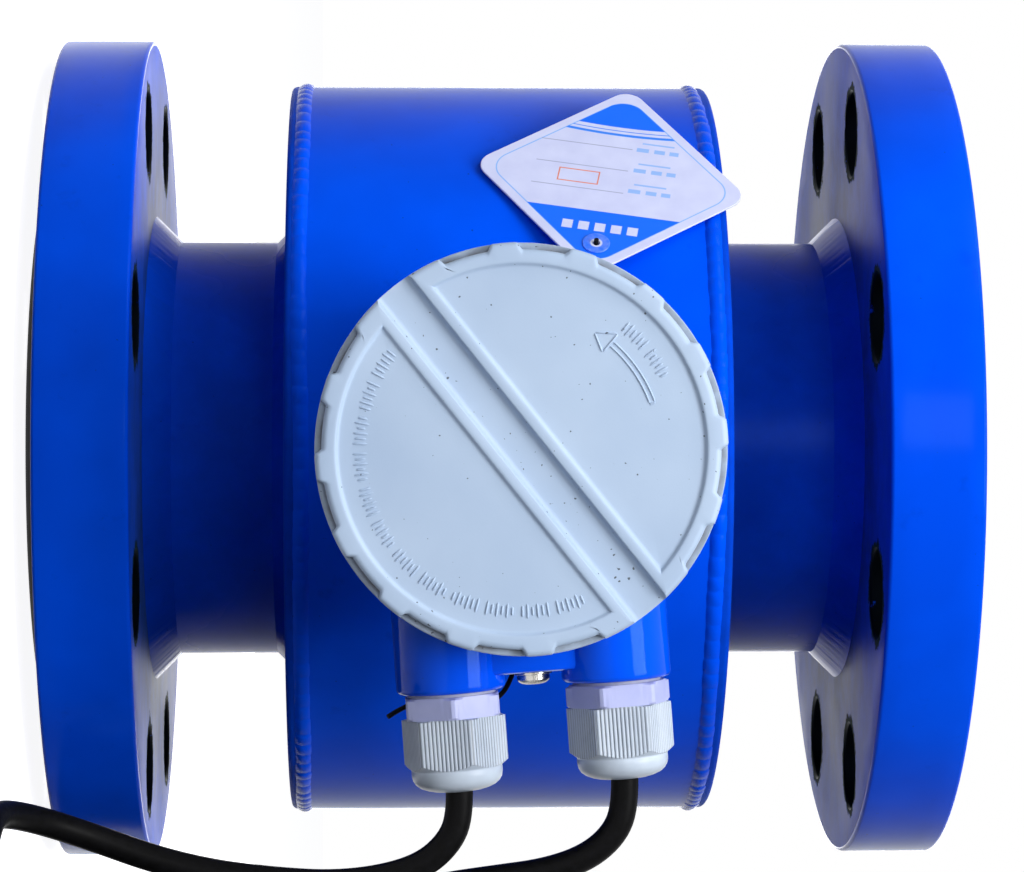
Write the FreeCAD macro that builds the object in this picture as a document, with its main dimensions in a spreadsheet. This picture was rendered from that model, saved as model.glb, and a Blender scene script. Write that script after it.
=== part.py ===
import FreeCAD, Part
import math
import os
import re
import Sketcher
from FreeCAD import Placement, Rotation, Vector

# Electromagnetic flow meter: a lined steel tube between two drilled flanges, with a
# coil drum welded round it and a junction box on a short neck.
# The origin is the centre of the lower sealing face, +Z runs up the tube and the
# junction box faces -Y, with its two cable glands towards +X. Millimetres and degrees.

SIZES = {
    # the whole meter and its flanges
    "face_to_face": 247, "flange_od": 225, "flange_thick": 24, "raised_od": 160,
    "raised_high": 2, "bolt_circle": 185, "bolt_hole": 23, "bolt_count": 8,
    "bolt_turn": 1.2, "edge_break": 1.2, "weld_gap": 0.2,
    # measuring tube and liner
    "tube_od": 114.3, "tube_wall": 3.6, "liner_wall": 3.55, "flare_od": 152,
    "flare_thick": 3, "flange_weld": 7.5,
    # coil drum
    "shell_od": 200.5, "shell_long": 113.4, "shell_wall": 3, "plate_thick": 4,
    "plate_weld": 4.5, "bead_wide": 4.6, "bead_high": 1,
    # magnet system
    "shoe_thick": 3, "shoe_gap": 0.3, "shoe_angle": 70, "shoe_long": 60, "core_od": 30,
    "coil_od": 60, "coil_fit": 0.3, "coil_gap": 1.9, "yoke_thick": 3.2, "yoke_gap": 0.4,
    "yoke_wide": 32,
    # electrodes
    "stem_od": 8, "head_od": 14, "head_thick": 2, "bush_od": 13, "bush_high": 5,
    "stem_long": 24, "nut_flat": 13, "nut_high": 6, "part_fit": 0.05,
    # neck and junction box, heights are counted from the tube's axis
    "box_twist": 4.2, "neck_od": 50, "neck_wall": 4, "neck_weld": 3, "neck_fit": 0.1,
    "neck_plug": 10, "collar_od": 62, "collar_long": 8, "base_drop": 20.7, "box_od": 88,
    "box_bevel": 3, "thread_wall": 4, "box_floor": 10, "shoulder_rise": 12.3,
    "thread_od": 84, "thread_long": 12, "wire_hole": 18,
    # cable bosses, web and earth screw
    "boss_od": 26, "boss_pitch": 39.3, "boss_reach": 56, "gland_height": 147.7,
    "gland_bore": 16, "web_reach": 52.6, "web_high": 17,
    "earth_thread": 4, "earth_long": 9, "earth_head": 7.8, "earth_high": 2.4,
    "earth_washer": 9, "washer_thick": 0.8,
    # cover and its gasket
    "cover_od": 94.5, "cover_high": 20, "gasket_thick": 1, "gasket_od": 92,
    "thread_fit": 0.08, "cover_roof": 5, "rim_wide": 5, "panel_deep": 0.9,
    "slot_wide": 9.4, "slot_deep": 2.2, "ridge_wide": 2.6, "cover_angle": 34.5,
    "cover_edge": 1.6, "grip_count": 16, "grip_angle": 14, "grip_deep": 1.6,
    "grip_ring": 16,
    # terminal block
    "block_long": 50, "block_wide": 14, "block_high": 14, "block_offset": 17,
    "terminals": 8, "terminal_screw": 3.4, "block_screw": 3, "block_head": 5.5,
    # cable glands
    "gland_flat": 22, "gland_corner": 24.9, "gasket_ring": 0.8, "body_high": 5.2,
    "stem_reach": 10, "mouth_long": 9.5, "mouth_wall": 3.2, "skirt_high": 12.1,
    "dome_high": 5.4, "dome_od": 21.6, "nut_mouth": 8,
    "nut_thread": 19, "rib_pitch": 0.96, "rib_deep": 0.3, "slip_thick": 0.8,
    "slip_bore": 8.6, "slip_gap": 0.2, "seal_od": 12.4, "seal_long": 9,
    # cables
    "cable_od": 6.6, "cable_fit": 0.05, "core_wire": 1.6, "sheath_end": 22,
    "coil_columns": 4, "coil_layers": 5, "coil_middle": 76, "coil_air": 0.3,
    "ferrule_od": 2.2, "ferrule_long": 8, "bare_long": 18, "lead_od": 2,
    # hang tag
    "tag_side": 51, "tag_thick": 0.6, "tag_corner": 5, "tag_lean": 43, "tag_tilt": 11,
    "tag_up": 27, "tag_hole": 4, "tag_hole_reach": 24.5, "tag_rest": 0.05,
    "eyelet_od": 7, "eyelet_lip": 0.35, "string_od": 1.2,
}

doc = FreeCAD.newDocument("FlowMeter")
sheet = doc.addObject("Spreadsheet::Sheet", "Sizes")
for row, (alias, number) in enumerate(SIZES.items(), start=1):
    sheet.set(f"A{row}", alias)
    sheet.set(f"B{row}", str(number))
    sheet.setAlias(f"B{row}", alias)
doc.recompute()

FUNCTIONS = ("sqrt", "sin", "cos", "tan", "min", "max")
# heights on the junction box that follow the glands' height, as words for expressions
FOLLOWING = {"box_base": "(gland_height - base_drop)",
             "box_shoulder": "(gland_height + shoulder_rise)",
             "cover_top": "(gland_height + shoulder_rise + cover_high)"}
pieces = []


# ---------------------------------------------------------------- small helpers

def bound(text):
    """An expression in words turned into one that reads the sheet."""
    def prefix(match):
        word = match.group(0)
        if word in FOLLOWING:
            return bound(FOLLOWING[word])
        return word if word in FUNCTIONS else "Sizes." + word
    return re.sub(r"[a-z][a-z_]+", prefix, str(text))


def size(text):
    """The number that an expression in words has now."""
    return float(sheet.evalExpression(bound(text)))


def whole(text):
    return int(round(size(text)))


def bind(thing, **expressions):
    for name, text in expressions.items():
        thing.setExpression(name, bound(text))


def piece(thing, label, place=None):
    """Names a finished sub-part, puts it in its place and lists it for the export."""
    thing.Label = label
    if place is not None:
        thing.Placement = place
    pieces.append(thing)
    return thing


def shift(x=0, y=0, z=0):
    return Placement(Vector(x, y, z), Rotation())


def turn(axis, degrees):
    return Placement(Vector(), Rotation(Vector(*axis), degrees))


def origin_plane(body, role):
    return next(item for item in body.Origin.OriginFeatures if item.Role == role)


def new_sketch(body, role):
    sketch = body.newObject("Sketcher::SketchObject", "Outline")
    sketch.AttachmentSupport = [(origin_plane(body, role), "")]
    sketch.MapMode = "FlatFace"
    return sketch


def pin_point(sketch, edge, end, across, along):
    """Holds one end of an edge at two bound distances from the sketch's origin."""
    for kind, text in (("DistanceX", across), ("DistanceY", along)):
        index = sketch.addConstraint(Sketcher.Constraint(kind, -1, 1, edge, end, size(text)))
        sketch.setExpression(f"Constraints[{index}]", bound(text))


def closed_line(sketch, points):
    """A closed line through points, each given as two expressions."""
    spots = [Vector(size(across), size(along), 0) for across, along in points]
    first = sketch.GeometryCount
    count = len(points)
    for index in range(count):
        sketch.addGeometry(Part.LineSegment(spots[index], spots[(index + 1) % count]))
    for index in range(count):
        following = first + (index + 1) % count
        sketch.addConstraint(Sketcher.Constraint("Coincident", first + index, 2, following, 1))
        pin_point(sketch, first + index, 1, *points[index])


def circle(sketch, radius, across="0", along="0"):
    """A circle of bound radius with its centre at two bound distances."""
    centre = Vector(size(across), size(along), 0)
    edge = sketch.addGeometry(Part.Circle(centre, Vector(0, 0, 1), size(radius)))
    index = sketch.addConstraint(Sketcher.Constraint("Radius", edge, size(radius)))
    sketch.setExpression(f"Constraints[{index}]", bound(radius))
    pin_point(sketch, edge, 3, across, along)


def turned(points):
    """A body turned about Z from a closed outline of (radius, height) points."""
    body = doc.addObject("PartDesign::Body", "Turned")
    sketch = new_sketch(body, "XZ_Plane")
    closed_line(sketch, points)
    solid = body.newObject("PartDesign::Revolution", "Turning")
    solid.Profile = sketch
    solid.ReferenceAxis = (sketch, ["V_Axis"])
    solid.Angle = 360
    body.Tip = solid
    doc.recompute()
    return body


def ring(inner, outer, low, high):
    """The outline of a plain ring, as radii and heights."""
    return [(inner, low), (outer, low), (outer, high), (inner, high)]


def pocket(body, sketch, length, backwards=False):
    cut_out = body.newObject("PartDesign::Pocket", "Pocket")
    cut_out.Profile = sketch
    bind(cut_out, Length=length)
    cut_out.Reversed = backwards
    body.Tip = cut_out
    doc.recompute()
    return cut_out


def around(body, feature, count, angle="360"):
    """Repeats a feature about the body's Z axis."""
    pattern = body.newObject("PartDesign::PolarPattern", "Round")
    pattern.Originals = [feature]
    pattern.Axis = (origin_plane(body, "Z_Axis"), [""])
    bind(pattern, Angle=angle, Occurrences=count)
    body.Tip = pattern
    doc.recompute()
    return pattern


def solid(kind, place=None, **expressions):
    """A Part primitive with bound sizes."""
    thing = doc.addObject("Part::" + kind, kind)
    bind(thing, **expressions)
    if place is not None:
        thing.Placement = place
    return thing


def cylinder(radius, height, place=None):
    return solid("Cylinder", place, Radius=radius, Height=height)


def cut(base, tool):
    result = doc.addObject("Part::Cut", "Cut")
    result.Base, result.Tool = base, tool
    return result


def fuse(*things):
    result = doc.addObject("Part::MultiFuse", "Fuse")
    result.Shapes = list(things)
    return result


def common(*things):
    result = doc.addObject("Part::MultiCommon", "Common")
    result.Shapes = list(things)
    return result


def group(things):
    """Like solids that stay separate in one sub-part."""
    result = doc.addObject("Part::Compound", "Group")
    result.Links = list(things)
    return result


# ---------------------------------------------------------------- frames of the meter

MIDDLE = "face_to_face / 2"
BACK_FACE = "flare_thick + raised_high + flange_thick"
mid_height = size(MIDDLE)

# the junction box's own frame: z out from the tube, x towards the glands, y up the tube
box_frame = shift(z=mid_height) * turn((1, 0, 0), 90) * turn((0, 0, 1), size("box_twist"))
# the far side of the magnet system looks the other way
near_side = shift(z=mid_height) * turn((1, 0, 0), 90)
far_side = shift(z=mid_height) * turn((0, 0, 1), 180) * turn((1, 0, 0), 90)
# seen from the upper end, everything on the tube's axis is the same again
upper_end = shift(z=size("face_to_face")) * turn((1, 0, 0), 180)


def gland_frame(side):
    """z along the gland, counted from the box's axis; side -1 is the lower gland."""
    seat = shift(y=side * size("boss_pitch / 2"), z=size("gland_height"))
    return box_frame * seat * turn((0, 1, 0), 90)


# ---------------------------------------------------------------- flanges and tube

def make_flange(label, place, sense):
    """A flat welding flange: raised face, bolt holes astride the box's direction."""
    rim, face = "flange_od / 2", "flare_thick + raised_high"
    body = turned([
        ("tube_od / 2 + weld_gap", "flare_thick"), ("raised_od / 2", "flare_thick"),
        ("raised_od / 2", face), (f"{rim} - edge_break", face),
        (rim, f"{face} + edge_break"), (rim, f"{BACK_FACE} - edge_break"),
        (f"{rim} - edge_break", BACK_FACE), ("tube_od / 2 + weld_gap", BACK_FACE)])
    first = f"(180 / bolt_count + {sense} * bolt_turn)"
    sketch = new_sketch(body, "XY_Plane")
    circle(sketch, "bolt_hole / 2", f"bolt_circle / 2 * cos{first}",
           f"bolt_circle / 2 * sin{first}")
    hole = pocket(body, sketch, BACK_FACE, backwards=True)
    around(body, hole, "bolt_count")
    return piece(body, label, place)


def make_fillet_weld(label, leg, seat, place):
    """A three-cornered weld between a face at height seat and the tube."""
    tube = "tube_od / 2"
    return piece(turned([(tube, seat), (f"{tube} + {leg}", seat),
                         (f"{tube} + 0.45 * {leg}", f"{seat} + 0.45 * {leg}"),
                         (tube, f"{seat} + {leg}")]), label, place)


make_flange("lower_flange", shift(), 1)
make_flange("upper_flange", upper_end, -1)

TUBE_BORE = "(tube_od / 2 - tube_wall)"
METER_BORE = f"({TUBE_BORE} - liner_wall)"
tube = turned(ring(TUBE_BORE, "tube_od / 2", "flare_thick", "face_to_face - flare_thick"))
port = new_sketch(tube, "YZ_Plane")
circle(port, "bush_od / 2", "0", MIDDLE)
for way in (False, True):
    pocket(tube, port, "tube_od", backwards=way)
piece(tube, "measuring_tube")

liner = turned([
    (METER_BORE, "0"), ("flare_od / 2", "0"), ("flare_od / 2", "flare_thick"),
    (TUBE_BORE, "flare_thick"), (TUBE_BORE, "face_to_face - flare_thick"),
    ("flare_od / 2", "face_to_face - flare_thick"), ("flare_od / 2", "face_to_face"),
    (METER_BORE, "face_to_face")])
seat = new_sketch(liner, "YZ_Plane")
circle(seat, "head_od / 2 + part_fit", "0", MIDDLE)
for way in (False, True):
    pocket(liner, seat, "flare_od", backwards=way)
piece(liner, "liner")

make_fillet_weld("lower_flange_weld", "flange_weld", BACK_FACE, shift())
make_fillet_weld("upper_flange_weld", "flange_weld", BACK_FACE, upper_end)

# ---------------------------------------------------------------- coil drum

DRUM_LOW = "(face_to_face - shell_long) / 2"
SEAM = f"({DRUM_LOW} + plate_thick)"
SHELL_BORE = "(shell_od / 2 - shell_wall)"
NECK_BORE = "(neck_od / 2 - neck_wall)"


def make_drum_end(place, end):
    """One end of the drum: its plate, the seam bead on the rim and the tube weld."""
    plate = ring("tube_od / 2 + weld_gap", "shell_od / 2", DRUM_LOW, SEAM)
    piece(turned(plate), f"{end}_end_plate", place)
    # the bead is the part of a torus that stands out of the shell
    section = "(bead_wide * bead_wide / 4 + bead_high * bead_high) / (2 * bead_high)"
    bead = solid("Torus", shift(z=size(SEAM)), Radius2=section,
                 Radius1=f"shell_od / 2 + bead_high - {section}")
    core = cylinder("shell_od / 2", "shell_long", shift(z=size(SEAM) - size("shell_long / 2")))
    piece(cut(bead, core), f"{end}_seam_bead", place)
    # the weld outside the plate points to the meter's end
    leg = "plate_weld"
    weld = turned([("tube_od / 2", DRUM_LOW), (f"tube_od / 2 + {leg}", DRUM_LOW),
                   (f"tube_od / 2 + 0.45 * {leg}", f"{DRUM_LOW} - 0.45 * {leg}"),
                   ("tube_od / 2", f"{DRUM_LOW} - {leg}")])
    piece(weld, f"{end}_plate_weld", place)


make_drum_end(shift(), "lower")
make_drum_end(upper_end, "upper")

shell = turned(ring(SHELL_BORE, "shell_od / 2", SEAM, f"face_to_face - {SEAM}"))
mouth = new_sketch(shell, "XZ_Plane")
circle(mouth, NECK_BORE, "0", MIDDLE)
pocket(shell, mouth, "shell_od / 2", backwards=True)
piece(shell, "housing_shell")

# ---------------------------------------------------------------- magnet system

SHOE_IN = "(tube_od / 2 + shoe_gap)"
YOKE_OUT = f"({SHELL_BORE} - yoke_gap)"
YOKE_IN = f"({YOKE_OUT} - yoke_thick)"
COIL_LOW = f"({SHOE_IN} + shoe_thick + coil_fit)"
# the coil's rim stays clear of the round yoke above it
COIL_TOP = f"(sqrt({YOKE_IN} * {YOKE_IN} - coil_od * coil_od / 4) - coil_gap)"


def make_pole(label, place):
    """A pole piece: a shoe bent round the tube with a round core up to the yoke."""
    # the sector is turned so that its middle looks along the frame's z
    sector = turn((1, 0, 0), -90) * shift(z=-size("shoe_long / 2"))
    sector = sector * turn((0, 0, 1), 270 - size("shoe_angle / 2"))
    outer = solid("Cylinder", sector, Radius=f"{SHOE_IN} + shoe_thick",
                  Height="shoe_long", Angle="shoe_angle")
    inner = cylinder(SHOE_IN, "2 * shoe_long", turn((1, 0, 0), -90) * shift(z=-size("shoe_long")))
    core = cylinder("core_od / 2", YOKE_IN, shift(z=size(SHOE_IN)))
    reach = cylinder(YOKE_IN, "2 * core_od", turn((1, 0, 0), -90) * shift(z=-size("core_od")))
    return piece(cut(fuse(outer, common(core, reach)), inner), label, place)


def make_coil(label, place):
    """A round winding on the pole's core."""
    winding = turned(ring("core_od / 2 + coil_fit", "coil_od / 2", COIL_LOW, COIL_TOP))
    return piece(winding, label, place)


for label, place in (("near", near_side), ("far", far_side)):
    make_pole(f"{label}_pole_piece", place)
    make_coil(f"{label}_coil", place)
piece(turned(ring(YOKE_IN, YOKE_OUT, f"{MIDDLE} - yoke_wide / 2",
                  f"{MIDDLE} + yoke_wide / 2")), "return_yoke")

# ---------------------------------------------------------------- electrodes

electrode_frames = [shift(z=mid_height) * turn((0, 1, 0), side * 90) for side in (-1, 1)]
BUSH_TOP = "(tube_od / 2 + bush_high)"
# the middle of the flat head lies flush with the lined bore
HEAD_TOP = f"({METER_BORE} + head_thick)"
for side, place in zip(("left", "right"), electrode_frames):
    stem = turned([("0", METER_BORE), ("head_od / 2", METER_BORE), ("head_od / 2", HEAD_TOP),
                   ("stem_od / 2", HEAD_TOP), ("stem_od / 2", f"{METER_BORE} + stem_long"),
                   ("0", f"{METER_BORE} + stem_long")])
    piece(stem, f"{side}_electrode", place)
bushes = []
nuts = []
for place in electrode_frames:
    bush = turned([("stem_od / 2 + part_fit", HEAD_TOP),
                   ("bush_od / 2 - part_fit", HEAD_TOP),
                   ("bush_od / 2 - part_fit", BUSH_TOP), ("stem_od / 2 + part_fit", BUSH_TOP)])
    bush.Placement = place
    bushes.append(bush)
    blank = solid("Prism", shift(z=size(BUSH_TOP)), Circumradius="nut_flat / 2 / cos(30)",
                  Height="nut_high")
    bore = cylinder("stem_od / 2 + part_fit", "nut_high", shift(z=size(BUSH_TOP)))
    nut = cut(blank, bore)
    nut.Placement = place
    nuts.append(nut)
piece(group(bushes), "electrode_bushes")
piece(group(nuts), "electrode_nuts")

# ---------------------------------------------------------------- neck and junction box

NECK_TOP = "(box_base - collar_long + neck_plug)"
neck_tube = cylinder("neck_od / 2", NECK_TOP)
neck_space = cylinder(NECK_BORE, NECK_TOP)
# in the box's frame the drum lies across, turned back by the box's twist
drum_line = turn((0, 0, 1), -size("box_twist")) * turn((1, 0, 0), -90) * shift(z=-size("neck_od"))
drum_space = cylinder("shell_od / 2", "2 * neck_od", drum_line)
neck = cut(cut(neck_tube, neck_space), drum_space)
piece(neck, "neck", box_frame)

# the neck's weld follows the drum: a tapered collar with the drum taken out
weld_low = "(shell_od / 2 - 2 * neck_weld)"
weld = turned([("neck_od / 2", weld_low), ("neck_od / 2 + neck_weld", weld_low),
               ("neck_od / 2 + neck_weld", "shell_od / 2 + neck_weld / 6"),
               ("neck_od / 2", "shell_od / 2 + 7 / 6 * neck_weld")])
piece(cut(weld, cylinder("shell_od / 2", "2 * neck_od", drum_line)), "neck_weld", box_frame)

FLOOR_TOP = "(box_base + box_floor)"
CAVITY = "(thread_od / 2 - thread_wall)"
can = turned([
    ("wire_hole / 2", NECK_TOP), ("neck_od / 2 + neck_fit", NECK_TOP),
    ("neck_od / 2 + neck_fit", "box_base - collar_long"),
    ("collar_od / 2", "box_base - collar_long"), ("collar_od / 2", "box_base"),
    ("box_od / 2 - box_bevel", "box_base"), ("box_od / 2", "box_base + box_bevel"),
    ("box_od / 2", "box_shoulder"), ("thread_od / 2", "box_shoulder"),
    ("thread_od / 2", "box_shoulder + thread_long"), (CAVITY, "box_shoulder + thread_long"),
    (CAVITY, FLOOR_TOP), ("wire_hole / 2", FLOOR_TOP)])
along_gland = turn((0, 1, 0), 90)
parts = [can]
for side in (-1, 1):
    at_gland = shift(y=side * size("boss_pitch / 2"), z=size("gland_height"))
    parts.append(cylinder("boss_od / 2", "boss_reach", at_gland * along_gland))
web = solid("Box", shift(y=-size("boss_pitch / 2"), z=size("gland_height - web_high / 2")),
            Length="web_reach", Width="boss_pitch", Height="web_high")
parts.append(web)
hollows = [cylinder(CAVITY, f"box_shoulder + thread_long - {FLOOR_TOP}",
                    shift(z=size(FLOOR_TOP)))]
for side in (-1, 1):
    at_gland = shift(y=side * size("boss_pitch / 2"), z=size("gland_height"))
    hollows.append(cylinder("gland_bore / 2", "boss_reach", at_gland * along_gland))
# the bosses are faced off under the cover's rim
seat_ring = cut(cylinder("cover_od / 2 + 0.4", "thread_long", shift(z=size("box_shoulder"))),
                cylinder("thread_od / 2", "thread_long", shift(z=size("box_shoulder"))))
hollows.append(seat_ring)
earth_hole = shift(x=size("web_reach - earth_long"), z=size("gland_height"))
hollows.append(cylinder("earth_thread / 2 + part_fit", "earth_long", earth_hole * along_gland))
piece(cut(fuse(*parts), fuse(*hollows)), "junction_box", box_frame)

# ---------------------------------------------------------------- earth screw

earth_frame = box_frame * shift(z=size("gland_height")) * along_gland
head_low = "web_reach + washer_thick"
screw = turned([("0", "web_reach - earth_long + 1"),
                ("earth_thread / 2", "web_reach - earth_long + 1"),
                ("earth_thread / 2", head_low), ("earth_head / 2", head_low),
                ("earth_head / 2", f"{head_low} + earth_high / 3"),
                ("earth_head / 2.8", f"{head_low} + 0.85 * earth_high"),
                ("earth_head / 6", f"{head_low} + earth_high"),
                ("0", f"{head_low} + earth_high")])
cross = new_sketch(screw, "XY_Plane")
arm, slit = "earth_head / 4", "earth_head / 14"
closed_line(cross, [(f"{slit}", f"{slit}"), (f"{slit}", arm), (f"-{slit}", arm),
                    (f"-{slit}", f"{slit}"), (f"-({arm})", f"{slit}"), (f"-({arm})", f"-{slit}"),
                    (f"-{slit}", f"-{slit}"), (f"-{slit}", f"-({arm})"), (f"{slit}", f"-({arm})"),
                    (f"{slit}", f"-{slit}"), (arm, f"-{slit}"), (arm, f"{slit}")])
cross.AttachmentOffset = shift(z=size(f"{head_low} + earth_high"))
pocket(screw, cross, "earth_high / 2")
piece(screw, "earth_screw", earth_frame)
piece(turned(ring("earth_thread / 2 + part_fit", "earth_washer / 2", "web_reach", head_low)),
      "earth_washer", earth_frame)

# ---------------------------------------------------------------- screw cover

SKIRT_LOW = "(box_shoulder + gasket_thick)"
RIM_IN = "(cover_od / 2 - rim_wide)"
PANEL = "(cover_top - panel_deep)"
cover_frame = box_frame * turn((0, 0, 1), size("cover_angle"))
cover = turned([
    ("0", "cover_top - cover_roof"),
    ("thread_od / 2 + thread_fit", "cover_top - cover_roof"),
    ("thread_od / 2 + thread_fit", SKIRT_LOW), ("cover_od / 2 - 0.4", SKIRT_LOW),
    ("cover_od / 2", f"{SKIRT_LOW} + 0.4"), ("cover_od / 2", "cover_top - cover_edge"),
    ("cover_od / 2 - 0.3 * cover_edge", "cover_top - 0.3 * cover_edge"),
    ("cover_od / 2 - cover_edge", "cover_top"),
    (f"{RIM_IN}", "cover_top"), (f"{RIM_IN} - 0.6", PANEL), ("0", PANEL)])


def bar(sketch, low, high, reach):
    """A straight bar along the cover's slot, from low to high beside its middle line."""
    closed_line(sketch, [(f"-({reach})", low), (reach, low), (reach, high), (f"-({reach})", high)])


ridges = new_sketch(cover, "XY_Plane")
ridges.AttachmentOffset = shift(z=size(PANEL))
bar(ridges, "slot_wide / 2", "slot_wide / 2 + ridge_wide", f"{RIM_IN}")
bar(ridges, "-(slot_wide / 2 + ridge_wide)", "-(slot_wide / 2)", f"{RIM_IN}")
raised = cover.newObject("PartDesign::Pad", "Ridges")
raised.Profile = ridges
bind(raised, Length="panel_deep")
cover.Tip = raised
slot = new_sketch(cover, "XY_Plane")
slot.AttachmentOffset = shift(z=size("cover_top"))
bar(slot, "-(slot_wide / 2)", "slot_wide / 2", "cover_od")
pocket(cover, slot, "slot_deep")

# grip notches at every step round the wall but the two that the slot takes
STEP = "(360 / grip_count)"
grip = new_sketch(cover, "XY_Plane")
grip.AttachmentOffset = shift(z=size("cover_top"))
for half in (0, 180):
    corners = []
    for reach, swing in (("(cover_od / 2 - grip_deep)", -0.5), ("(cover_od / 2 + 1)", -0.56),
                         ("(cover_od / 2 + 1)", 0.56), ("(cover_od / 2 - grip_deep)", 0.5)):
        angle = f"({half} + {STEP} + ({swing}) * grip_angle)"
        corners.append((f"{reach} * cos{angle}", f"{reach} * sin{angle}"))
    closed_line(grip, corners)
notch = pocket(cover, grip, f"cover_top - {SKIRT_LOW} - grip_ring")
around(cover, notch, "grip_count / 2 - 1", f"180 - 2 * {STEP}")
piece(cover, "cover", cover_frame)

piece(turned(ring("thread_od / 2 + 0.4", "gasket_od / 2", "box_shoulder", SKIRT_LOW)),
      "cover_gasket", box_frame)

# ---------------------------------------------------------------- terminal block

block_place = shift(-size("block_offset + block_wide / 2"), -size("block_long / 2"), size(FLOOR_TOP))
block = solid("Box", block_place, Length="block_wide", Width="block_long", Height="block_high")
BLOCK_TOP = f"({FLOOR_TOP} + block_high)"
count = whole("terminals")
ear = size("block_long / 2 - block_head / 2 - 0.5")
span = 2 * (ear - size("block_head / 2 + terminal_screw / 2 + 0.3"))
spots = [-span / 2 + span * index / (count - 1) for index in range(count)]
wells = []
terminal_screws = []
for spot in spots:
    at = shift(-size("block_offset"), spot, size(f"{BLOCK_TOP} - 4"))
    wells.append(cylinder("terminal_screw / 2 + part_fit", "4", at))
    head = cylinder("terminal_screw / 2", "2.5", at)
    slit_box = solid("Box", at * shift(-4, -0.25, 1.9), Length="8", Width="0.5", Height="1")
    terminal_screws.append(cut(head, slit_box))
fixings = []
block_screws = []
for side in (-1, 1):
    at = shift(-size("block_offset"), side * ear, size(FLOOR_TOP))
    fixings.append(cylinder("block_screw / 2 + part_fit", "block_high", at))
    shank = cylinder("block_screw / 2", "block_high", at)
    head = cylinder("block_head / 2", "1.8", at * shift(z=size("block_high")))
    block_screws.append(fuse(shank, head))
piece(cut(block, fuse(*wells, *fixings)), "terminal_block", box_frame)
piece(group(terminal_screws), "terminal_screws", box_frame)
piece(group(block_screws), "block_screws", box_frame)

# ---------------------------------------------------------------- cable glands

HEX_LOW = "(boss_reach + gasket_ring)"
HEX_TOP = f"({HEX_LOW} + body_high)"
MOUTH = f"({HEX_TOP} + mouth_long)"
MOUTH_BORE = "(nut_thread / 2 - mouth_wall)"
SKIRT_TOP = f"({HEX_TOP} + skirt_high)"
EXIT = f"({SKIRT_TOP} + dome_high)"


def hexagon(height, low, angle):
    """A hexagonal bar with its corners turned down to a round."""
    flat = turn((0, 0, 1), angle) * shift(z=size(low))
    bar_stock = solid("Prism", flat, Circumradius="gland_flat / 2 / cos(30)", Height=height)
    return common(bar_stock, cylinder("gland_corner / 2", height, shift(z=size(low))))


def make_gland_body(label, place, angle):
    """Thread into the boss, hexagon, and the threaded mouth that holds the seal."""
    seat_low = f"({MOUTH} - seal_long)"
    stem = turned([
        ("cable_od / 2 + 0.6", "boss_reach - stem_reach"),
        ("gland_bore / 2 - part_fit", "boss_reach - stem_reach"),
        ("gland_bore / 2 - part_fit", HEX_LOW), ("nut_thread / 2", HEX_LOW),
        ("nut_thread / 2", MOUTH), ("seal_od / 2 + part_fit", MOUTH),
        ("seal_od / 2 + part_fit", seat_low), ("cable_od / 2 + 0.6", seat_low)])
    bore = cylinder("nut_thread / 2 - 0.5", "body_high", shift(z=size(HEX_LOW)))
    return piece(fuse(stem, cut(hexagon("body_high", HEX_LOW, angle), bore)), label, place)


def make_gland_nut(label, place, angle):
    """A hexagonal skirt with fine ribs on its flats and a domed end round the cable."""
    skirt = hexagon("skirt_high", HEX_TOP, angle)
    ledge = f"({MOUTH} + slip_thick + 2 * slip_gap)"
    dome = turned([
        ("nut_mouth / 2", ledge), ("dome_od / 2", ledge), ("dome_od / 2", SKIRT_TOP),
        ("dome_od / 2", f"{SKIRT_TOP} + 0.3 * dome_high"),
        ("0.975 * dome_od / 2", f"{SKIRT_TOP} + 0.5 * dome_high"),
        ("0.90 * dome_od / 2", f"{SKIRT_TOP} + 0.72 * dome_high"),
        ("0.79 * dome_od / 2", f"{SKIRT_TOP} + 0.88 * dome_high"),
        ("0.64 * dome_od / 2", f"{SKIRT_TOP} + 0.97 * dome_high"),
        ("0.50 * dome_od / 2", EXIT), ("nut_mouth / 2", EXIT)])
    thread = cylinder("nut_thread / 2 + thread_fit", f"{ledge} - {HEX_TOP}", shift(z=size(HEX_TOP)))
    mouth = cylinder("nut_mouth / 2", f"{EXIT} - {HEX_TOP}", shift(z=size(HEX_TOP)))
    # grooves between the ribs: round-bottomed, the same number on each flat
    across = size("gland_flat / 2 * tan(30)") - size("rib_pitch")
    per_flat = int(across / size("rib_pitch")) * 2 + 1
    grooves = []
    for flat in range(6):
        face = turn((0, 0, 1), angle + 30 + 60 * flat)
        for index in range(per_flat):
            beside = (index - (per_flat - 1) / 2) * size("rib_pitch")
            at = face * shift(size("gland_flat / 2"), beside, size(HEX_TOP) + 0.3)
            grooves.append(cylinder("rib_deep", "skirt_high - 1.5", at))
    shape = cut(fuse(skirt, dome), fuse(thread, mouth))
    return piece(cut(shape, group(grooves)), label, place)


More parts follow.
